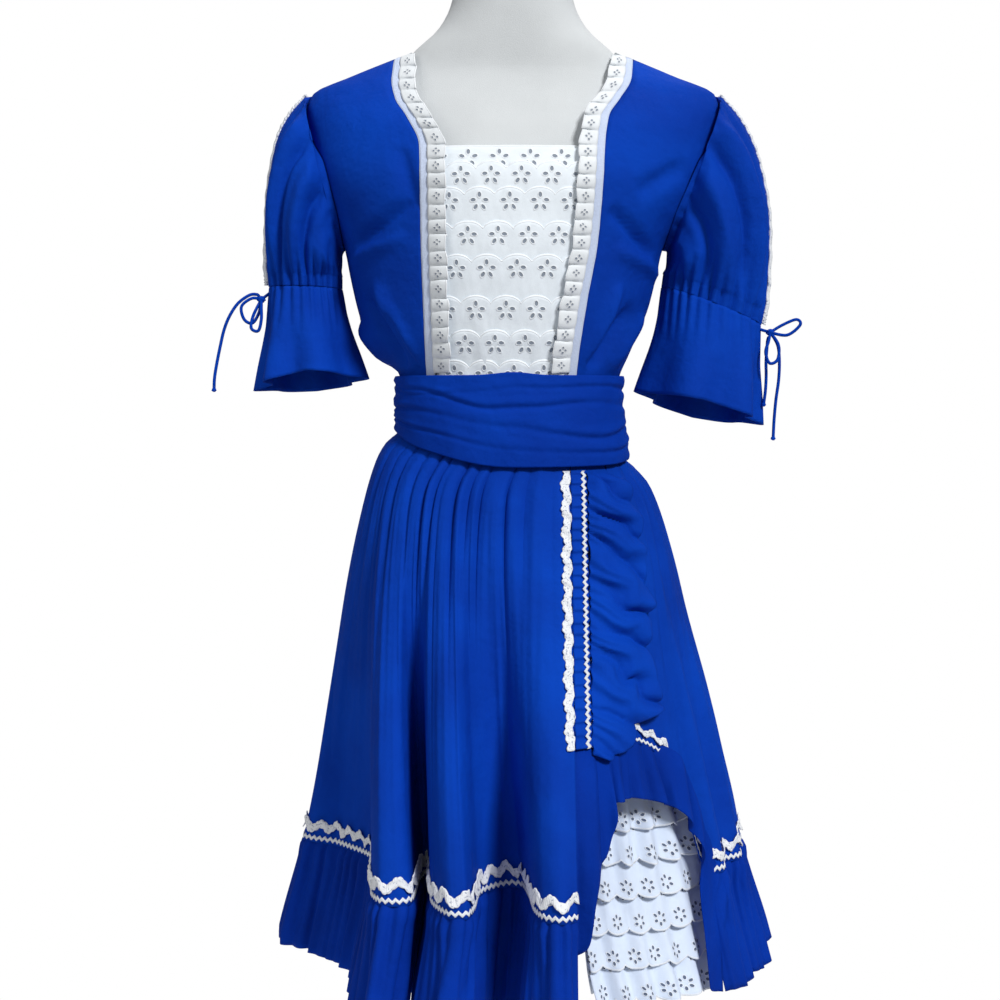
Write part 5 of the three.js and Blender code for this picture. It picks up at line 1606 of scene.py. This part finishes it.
@dataclass(frozen=True)
class Skirt:
    """The front and back panels with their trims and flounces."""

    trim_out: float = 1.1
    lace_low: float = 14.5
    lace_high: float = 22.0
    rickrack_height: float = 5.0
    gathers_back: int = 23
    flounce_pitch: float = 15.0
    panel_seam: float = 13.6
    seam_tuck: float = 5.0

    def front(self, u: Array, v: Array) -> Array:
        """Return the front panel, from the hem seam up."""
        t = self.front_column(u)
        rough = lerp(-90.0, skirt_angle(np.full_like(u, FRONT_EDGE_X), np.full_like(u, WAIST_Z)),
                     WAIST_SHARES(t))
        z = lerp(SEAM_Z, WAIST_Z - SEAM_GAP, v)
        fall = np.maximum(fall_at(rough, z), 0)
        ends = np.clip(np.minimum(t, LAST_COLUMN - t) / 3, 0, 1)
        turn = np.pi * (t + 0.5 * ripple(t * 0.17, 0, 0.9))
        uneven = 0.75 + 0.45 * ripple(t * 0.23, fall * 0.3, 4.0)
        pleat = pleated(turn, 0.65, 1.35)
        fine = 1.3 * ripple(t * 0.53, fall * 0.6, 2.2) * smooth(0.02, 0.2, fall) * smooth(1.1, 0.5, fall)
        fine = fine - 1.1 * bell((t - self.panel_seam) / 0.06) * smooth(0.14, 0.24, fall)
        reach = 0.5 + 0.2 * ripple(t * 0.31, 0, 2.7)
        side_panel = lerp(0.35, 1.0, smooth(4, 9, t))
        swell = lerp(2.6, 6.4, smooth(0, 0.08, fall)) * (1 - smooth(0.08, reach, fall)) * uneven * side_panel
        return front_column_point(t, z, (pleat * swell + fine) * ends)

    @staticmethod
    def front_column(u: Array) -> Array:
        """Return the column number at a share, even in part along the seam's folds."""
        return 0.45 * LAST_COLUMN * u + 0.55 * LAST_COLUMN * PIPES(u)

    def back(self, u: Array, v: Array) -> Array:
        """Return the back panel, from the hem seam up."""
        middle = (WAIST_Z + SEAM_Z) / 2
        rough = self.back_angle(u, np.full_like(u, middle))
        seam = seam_z(self.back_angle(u, seam_z(rough)))
        z = lerp(seam, WAIST_Z - SEAM_GAP, v)
        angle = self.back_angle(u, z)
        fall = np.maximum(fall_at(angle, z), 0)
        count = 2 * self.gathers_back
        ends = np.clip(np.minimum(u, 1 - u) * count / 3, 0, 1)
        turn = np.pi * (count * u + 0.5 * ripple(u * 7, 0, 1.9))
        reach = 0.5 + 0.2 * ripple(u * 13, 0, 1.7)
        uneven = 0.75 + 0.4 * ripple(u * 9, fall * 0.3, 2.0)
        swell = lerp(2.2, 4.8, smooth(0, 0.08, fall)) * (1 - smooth(0.08, reach, fall)) * uneven
        fine = 1.4 * ripple(u * 17, fall * 0.6, 0.7) * smooth(0.02, 0.25, fall)
        return skirt_point(angle, z, (pleated(turn, 0.8, 1.3) * swell + fine) * ends)

    @staticmethod
    def back_angle(u: Array, z: Array) -> Array:
        """Return the back panel's angle, from its edge under the drape round to the side seam."""
        return lerp(skirt_angle(PANEL_EDGE(z), z), 270 - SIDE_SEAM_TURN, u)

    def build(self, room: Workroom) -> None:
        """Sew the panels, the trims and the flounces."""
        panel = Cut("skirt_front_cloth", 440, 72, (0.86, 0.47), "blue_cotton", ("skirt_front",),
                    held=Held.GATHERED, rests_on=("cummerbund_cloth",))
        panel.sew(room, self.front, COTTON)
        panel = Cut("skirt_back_cloth", 380, 56, (1.15, 0.47), "blue_cotton", ("skirt_back",),
                    held=Held.GATHERED, rests_on=("cummerbund_cloth",))
        panel.sew(room, self.back, COTTON)
        for name, surface, width in (("front", self.front, 0.86), ("back", self.back, 1.15)):
            self.trims(room, name, surface, width)
        flounce = Cut("hem_flounce_front_cloth", 680, 18, (1.15, 0.112), "blue_cotton",
                      ("hem_flounce_front",), held=Held.GATHERED, rests_on=("skirt_front_cloth",))
        flounce.sew(room, self.front_flounce, FLOUNCE_PAINTED_SHADE_COTTON)
        flounce = Cut("hem_flounce_back_cloth", 680, 18, (1.35, 0.112), "blue_cotton",
                      ("hem_flounce_back",), held=Held.GATHERED, rests_on=("skirt_back_cloth",))
        flounce.sew(room, self.back_flounce, FLOUNCE_PAINTED_SHADE_COTTON)

    def trims(self, room: Workroom, name: str, surface: Surface, width: float) -> None:
        """Sew the lace and the rickrack above a panel's hem seam.

        Args:
            room: Where they are finished.
            name: The panel's name.
            surface: The panel.
            width: Length of the trims in metres; not used.
        """
        run = EvenRun.along(surface, 0.04)
        loops, points = round(run.total / 5.2), round(run.total / 6.5)
        height = (WAIST_Z - SEAM_GAP) - surface(run.shares[::300], np.zeros(10))[:, 2].min()

        def lace(u: Array, v: Array) -> Array:
            """Return the lace's surface."""
            place = run.total * u
            wave = 3.2 * np.sin(TAU * place / 22) + 1.4 * ripple(place / 41, 0, 1.5)
            scallop = 1.2 * np.abs(np.sin(np.pi * loops * u)) * (2 * v - 1)
            up = lerp(self.lace_low, self.lace_high, v) + wave + scallop
            out = self.trim_out + 1.3 + 1.5 * np.sin(TAU * place / 24 + 1.2) * (2 * v - 1)
            return raised(surface, run(u), up / height, out)

        def rickrack(u: Array, v: Array) -> Array:
            """Return the rickrack's surface."""
            zig = 1.5 * zigzag(TAU * points * u)
            up = self.rickrack_height + zig + 3.4 * (v - 0.5)
            return raised(surface, run(u), up / height, np.full_like(u, self.trim_out))

        strip = Cut(f"hem_lace_{name}_trim", 4 * loops, 5, (run.total * MM, 0.0105), "white_trim",
                    (f"hem_lace_{name}",), 0.9, held=Held.LAID, rests_on=(f"skirt_{name}_cloth",))
        strip.sew(room, lace, LACE)
        strip = Cut(f"hem_rickrack_{name}_trim", 4 * points, 2, (run.total * MM, 0.0042), "white_trim",
                    (f"hem_rickrack_{name}",), 0.7, held=Held.LAID, rests_on=(f"skirt_{name}_cloth",),
                    sheet=False)
        strip.sew(room, rickrack, RICKRACK)

    def gathered(self, surface: Surface, run: EvenRun) -> Surface:
        """Gather a flounce's surface in even waves.

        Args:
            surface: The plain flounce, from its hem up.
            run: Even steps along its top.

        Returns:
            The gathered surface.
        """
        def points(u: Array, v: Array) -> Array:
            """Return the gathered flounce."""
            place = run.total * u / self.flounce_pitch
            turn = TAU * (place + 0.35 * ripple(place / 6, 0, 1.1))
            ends = np.clip(np.minimum(u, 1 - u) * run.total / 12, 0, 1)
            wide = TAU * (place / 3 + 0.3 * ripple(place / 13, 0, 2.3))
            broad = 6.3 * np.sin(wide + 0.7 * np.sin(wide)) * smooth(0.95, 0.15, v)
            wave = np.cos(turn - 0.45 * np.sin(turn)) * lerp(1.1, 2.5, smooth(0.2, 0.85, v))
            puff = 1.5 * bell((v - 0.87) / 0.06)
            out = (wave + broad) * ends * smooth(1.0, 0.93, v) + puff - 3.2 * smooth(0.93, 0.98, v)
            return raised(surface, run(u), v, out)

        return points

    def front_flounce(self, u: Array, v: Array) -> Array:
        """Return the front flounce."""
        def plain(s: Array, h: Array) -> Array:
            """Return the flounce before it is gathered."""
            return front_column_point(LAST_COLUMN * s, lerp(HEM_Z, SEAM_Z + self.seam_tuck, h))

        return self.gathered(plain, EvenRun.along(plain, 1.0))(u, v)

    def back_flounce(self, u: Array, v: Array) -> Array:
        """Return the back flounce."""
        def plain(s: Array, h: Array) -> Array:
            """Return the flounce before it is gathered."""
            start = self.flounce_angle(s, np.full_like(s, SEAM_Z))
            z = lerp(HEM_Z, seam_z(start) + self.seam_tuck, h)
            return skirt_point(self.flounce_angle(s, z), z)

        return self.gathered(plain, EvenRun.along(plain, 1.0))(u, v)

    @staticmethod
    def flounce_angle(share: Array, z: Array) -> Array:
        """Return the back flounce's angle, from its start beside the arch to the side seam."""
        near = np.clip(skirt_angle(np.full_like(z, 198.0), z), 52, 60)
        return lerp(near, 270 - SIDE_SEAM_TURN, share)


def seam_line(u: Array, v: Array) -> Array:
    """Return the plain front panel by column, for measuring its seam."""
    return front_column_point(LAST_COLUMN * u, np.full_like(u, SEAM_Z))


PIPES = EvenRun.along(seam_line, 0.0)


@dataclass(frozen=True)
class FrontEdge:
    """The shirred strip with its lace and rickrack, the side drape and the arch flounce."""

    shirrs: int = 28
    strip: tuple[float, float] = (59.4, 79.0)
    trim_top_z: float = 952.0
    drape_inner: float = 76.4
    fold_pitch: float = 36.0
    fold_slope: float = 0.7
    arch_waves: int = 8
    points: int = 41

    def build(self, room: Workroom) -> None:
        """Sew each piece."""
        rests = ("skirt_front_cloth",)
        Cut("shirred_strip_cloth", 9, 224, (0.017, 0.39), "blue_cotton", ("shirred_strip",), 0.9,
            held=Held.GATHERED, rests_on=rests).sew(room, self.shirred, COTTON)
        Cut("shirr_lace_trim", 6, 200, (0.0105, 0.31), "white_trim", ("shirr_lace",), 0.9, held=Held.LAID,
            rests_on=rests).sew(room, self.lace, LACE)
        Cut("shirr_rickrack_trim", 2, 164, (0.0042, 0.30), "white_trim", ("shirr_rickrack",), 0.7,
            held=Held.LAID, sheet=False).sew(room, self.rickrack, RICKRACK)
        Cut("side_drape_cloth", 52, 160, (0.085, 0.36), "blue_cotton", ("side_drape",), held=Held.GATHERED,
            rests_on=("shirred_strip_cloth",)).sew(room, self.drape, COTTON)
        Cut("arch_flounce_cloth", 170, 30, (0.30, 0.11), "blue_cotton", ("arch_flounce",),
            held=Held.GATHERED, rests_on=("side_drape_cloth",)).sew(
                room, self.arch, FLOUNCE_PAINTED_SHADE_COTTON)

    def shirred(self, u: Array, v: Array) -> Array:
        """Return the shirred strip."""
        turn = TAU * self.shirrs * v + 0.5 * ripple(v * 6, u * 0.4, 1.0)
        puff = 0.9 * np.sin(np.pi * u) - 2.6 * smooth(0.78, 1.0, u)
        z = lerp(SHIRR_BOTTOM_Z, DRAPE_TOP_Z, v)
        free = smooth(0, 8, belt_edge(30.0) - z + 2)
        out = (1.5 * np.sin(turn + 0.5 * np.sin(turn)) + puff) * lerp(0.35, 1.0, free)
        return front_point(lerp(*self.strip, u), z, out)

    def lace(self, u: Array, v: Array) -> Array:
        """Return the lace beside the strip."""
        z = lerp(SHIRR_BOTTOM_Z, self.trim_top_z, v)
        length = self.trim_top_z - SHIRR_BOTTOM_Z
        x = lerp(50.6, 57.6, u) + 1.5 * np.sin(TAU * length * v / 23)
        x = x + 1.3 * np.abs(np.sin(np.pi * length * v / 6.5)) * (2 * u - 1) * np.where(u < 0.5, 1.4, 0.6)
        out = 2.3 + 1.3 * np.sin(TAU * length * v / 17 + 3 * u)
        return front_point(np.minimum(x, 58.4), z, out)

    def rickrack(self, u: Array, v: Array) -> Array:
        """Return the rickrack on the strip."""
        z = lerp(SHIRR_BOTTOM_Z, self.trim_top_z, v)
        zig = 1.4 * zigzag(TAU * self.points * v)
        return front_point(71.7 + zig + 3.2 * (u - 0.5), z, np.full_like(u, 2.9))

    def drape(self, u: Array, v: Array) -> Array:
        """Return the drape's diagonal folds."""
        rough_z = lerp(SHIRR_BOTTOM_Z, DRAPE_TOP_Z, v)
        rough_x = lerp(self.drape_inner, DRAPE_EDGE(rough_z), u)
        z = lerp(DRAPE_HEM(rough_x), DRAPE_TOP_Z, v)
        x = lerp(self.drape_inner, DRAPE_EDGE(z), u)
        free = smooth(0, 12, 954 - z)
        turn = TAU * (DRAPE_TOP_Z - z - self.fold_slope * (x - self.drape_inner)) / self.fold_pitch
        turn = turn + 1.9 * ripple(v * 3, u * 0.6, 2.6)
        fold = pleated(turn, 0.75, 1.3)
        fold = fold * lerp(0.6, 1.0, np.sin(np.pi * np.clip(0.8 * u, 0, 1)))
        small = 2.2 * np.sin(3.1 * turn + 1.0) * smooth(0.75, 0.1, u)
        puff = lerp(0.8, 3.5, smooth(0, 0.2, u)) + 6 * np.sin(np.pi * 0.75 * u)
        out = free * (puff + (3.8 + 7.4 * fold) * smooth(-0.1, 0.2, u) + small)
        return front_point(x, z, out)

    def arch(self, u: Array, v: Array) -> Array:
        """Return the arch flounce, from its free edge up."""
        top_x, top_z, hem_x, hem_z, lift = (column(u) for column in ARCH)
        share = 1 - v
        tuck = smooth(0.22, 0.0, share)
        over = smooth(0.66, 0.8, u) * smooth(1.0, 0.93, u)
        hidden = 1 - over
        sewn = np.where(top_x < 119, top_z, seam_z(skirt_angle(top_x, top_z)))
        top_x = top_x + 7 * over - 5 * smooth(0.08, 0.0, u)
        x = lerp(top_x, hem_x, share)
        rise = 9 * hidden * smooth(0.02, 0.1, u) * smooth(1.0, 0.93, u) + 24 * over
        z = lerp(np.minimum(sewn, top_z) + rise, hem_z, share)
        turn = TAU * (self.arch_waves * u + 0.35 * ripple(u * 3, 0, 0.8))
        wave = pleated(turn, 0.8, 1.2) * lerp(0.8, 7.0, share ** 0.8)
        out = wave + lift * share + 1.6 * ripple(u * 6, share, 2.0) * share
        return front_point(x, z, out - 4.0 * tuck * hidden + 9.0 * over * (1 - 0.5 * share))


@dataclass(frozen=True)
class Underskirt:
    """The white panel behind the arch, and its scalloped tiers."""

    tiers: int = 7
    first_hem: float = 634.0
    pitch: float = 32.3
    height: float = 50.0
    stand: float = 8.6
    slant: float = 9.0
    scallops: int = 6
    scallop: float = 6.5

    @staticmethod
    def place(share: Array, z: Array, out: Array) -> Array:
        """Return points on the panel.

        Args:
            share: Share of the way to the wearer's left.
            z: Heights.
            out: How far they stand out.

        Returns:
            Points, one row each.
        """
        x = lerp(UNDER_RIGHT(z), UNDER_LEFT(z), share)
        inset = lerp(27.0, 7.5, smooth(700, WAIST_Z, z))
        flute = 3.5 * np.cos(TAU * 5 * share) * (1 - smooth(640, 800, z))
        angle = skirt_angle(x, z)
        return SKIRT.point(belt_edge(angle) - z, angle, z, out - inset + flute)

    def build(self, room: Workroom) -> None:
        """Sew the panel and the tiers."""
        panel = Cut("eyelet_underskirt_cloth", 40, 50, (0.15, 0.56), "white_eyelet",
                    ("eyelet_underskirt",), 0.8, rests_on=("cummerbund_cloth",))
        panel.sew(room, lambda u, v: self.place(u, lerp(450.0, 1004.0, v), np.zeros_like(u)),
                  Eyelet("underskirt_eyelet", 0.022, 0.026, 0.5))
        for number in range(self.tiers):
            self.sew_tier(room, number)

    def sew_tier(self, room: Workroom, number: int) -> None:
        """Sew one tier.

        Args:
            room: Where it is finished.
            number: Its number from the top.
        """
        def arc(u: Array) -> Array:
            """Return how far the hem rises between the scallops' lowest points."""
            cell = (self.scallops * u + 0.35 * (number % 2)) % 1.0
            return self.scallop * (1 - np.sqrt(np.clip(1 - 0.96 * (2 * cell - 1) ** 2, 0, 1)))

        def height_at(u: Array, v: Array) -> Array:
            """Return the heights, from the scalloped hem up."""
            low = self.first_hem - number * self.pitch - self.slant * u
            return lerp(low + arc(u), low + self.height, v)

        def points(u: Array, v: Array) -> Array:
            """Return the tier's surface."""
            hang = (1 - v) ** 1.2
            fold = 3.0 * np.cos(TAU * (self.scallops - 1) * u + 0.8 * number) * hang
            wave = fold + 1.5 * ripple(u * 3.1, v * 0.3, 1.4 * number) * hang
            return self.place(u, height_at(u, v), lerp(2.4, self.stand + 1.5, hang) + wave)

        cut = Cut(f"eyelet_tier_{number + 1}_cloth", 126, 16, (0.165, 0.052), "white_eyelet",
                  (f"eyelet_tier_{number + 1}",), 0.6, held=Held.GATHERED,
                  rests_on=("eyelet_underskirt_cloth",))
        # The tiers' white is painted darker and bluer than the panel's, and their holes darker: painted shade
        # under the arch.
        finish = Eyelet(f"tier_eyelet_{number + 1}", 0.165 / self.scallops, 0.025, 0.48, petals=6,
                        reach=0.0052, hole=(0.0019, 0.0013), inside=srgb(96, 108, 132),
                        cloth=srgb(217, 230, 250), shift=0.35 * (number % 2))
        cut.sew(room, points, finish, lambda u, v: height_at(u, v) - height_at(u, 0))


@dataclass(frozen=True)
class Studio:
    """Camera, floor and light."""

    camera: Point = (-0.014, -1.8, 1.026)
    horizon_shift: float = -0.1
    lens: float = 58.9
    ambient: float = 0.25
    floor_radius: float = 0.93

    def build_camera(self) -> None:
        """Set up the camera at the photograph's viewing angle."""
        data = bpy.data.cameras.new("camera")
        data.lens, data.sensor_width, data.shift_y = self.lens, 36.0, self.horizon_shift
        camera = new_object("camera", data)
        camera.location = self.camera
        camera.rotation_euler = (math.radians(90), 0, 0)
        bpy.context.scene.camera = camera

    def build_light(self) -> None:
        """Set up the floor, the soft lights and the white surround."""
        scene = bpy.context.scene
        scene.view_settings.view_transform = "Standard"
        for name, tilt, turn, power, size in (
                ("key", 52, 34, 2.75, 14), ("fill", 62, -50, 0.6, 50), ("rear", 34, 165, 0.9, 40)):
            data = bpy.data.lights.new(name, "SUN")
            data.energy, data.angle = power, math.radians(size)
            light = new_object(name, data)
            light.rotation_euler = (math.radians(tilt), 0, math.radians(turn))
        scene.world = bpy.data.worlds.new("surround")
        board = Board(scene.world)
        seen = board.node("ShaderNodeLightPath", {}, {}, "Is Camera Ray")
        strength = board.node("ShaderNodeMapRange", {},
                              {"Value": seen, "To Min": self.ambient, "To Max": 1.0})
        board.dress(color=(1.0, 1.0, 1.0), strength=strength)
        self.build_floor()

    def build_floor(self) -> None:
        """Lay the plain pale floor."""
        bm = bmesh.new()
        bmesh.ops.create_circle(bm, cap_ends=True, segments=128, radius=self.floor_radius)
        bmesh.ops.translate(bm, verts=bm.verts, vec=(0, 0, -0.0006))
        floor = shaped("floor", bm)
        board = Board(bpy.data.materials.new("pale_floor"))
        cloud = board.noise(board.body_place(), 2.0)
        board.dress(base_color=board.blend_colour(cloud, (0.93, 0.93, 0.93), (0.96, 0.96, 0.96)),
                    roughness=0.9)
        floor.data.materials.append(board.owner)


def main() -> None:
    """Build the camera, the cords, the form and the dress, in that order."""
    logging.basicConfig(level=logging.INFO, format="%(message)s")
    studio = Studio()
    studio.build_camera()
    room = Workroom()
    for tie in TIES:
        tie.build(room)
    DressForm().build(room)
    Bodice().build(room)
    Neckline().build(room)
    FrontInset().build(room)
    for side in Side:
        Sleeve(side).build(room)
    Cummerbund().build(room)
    Skirt().build(room)
    FrontEdge().build(room)
    Underskirt().build(room)
    studio.build_light()


if __name__ == "__main__":
    main()
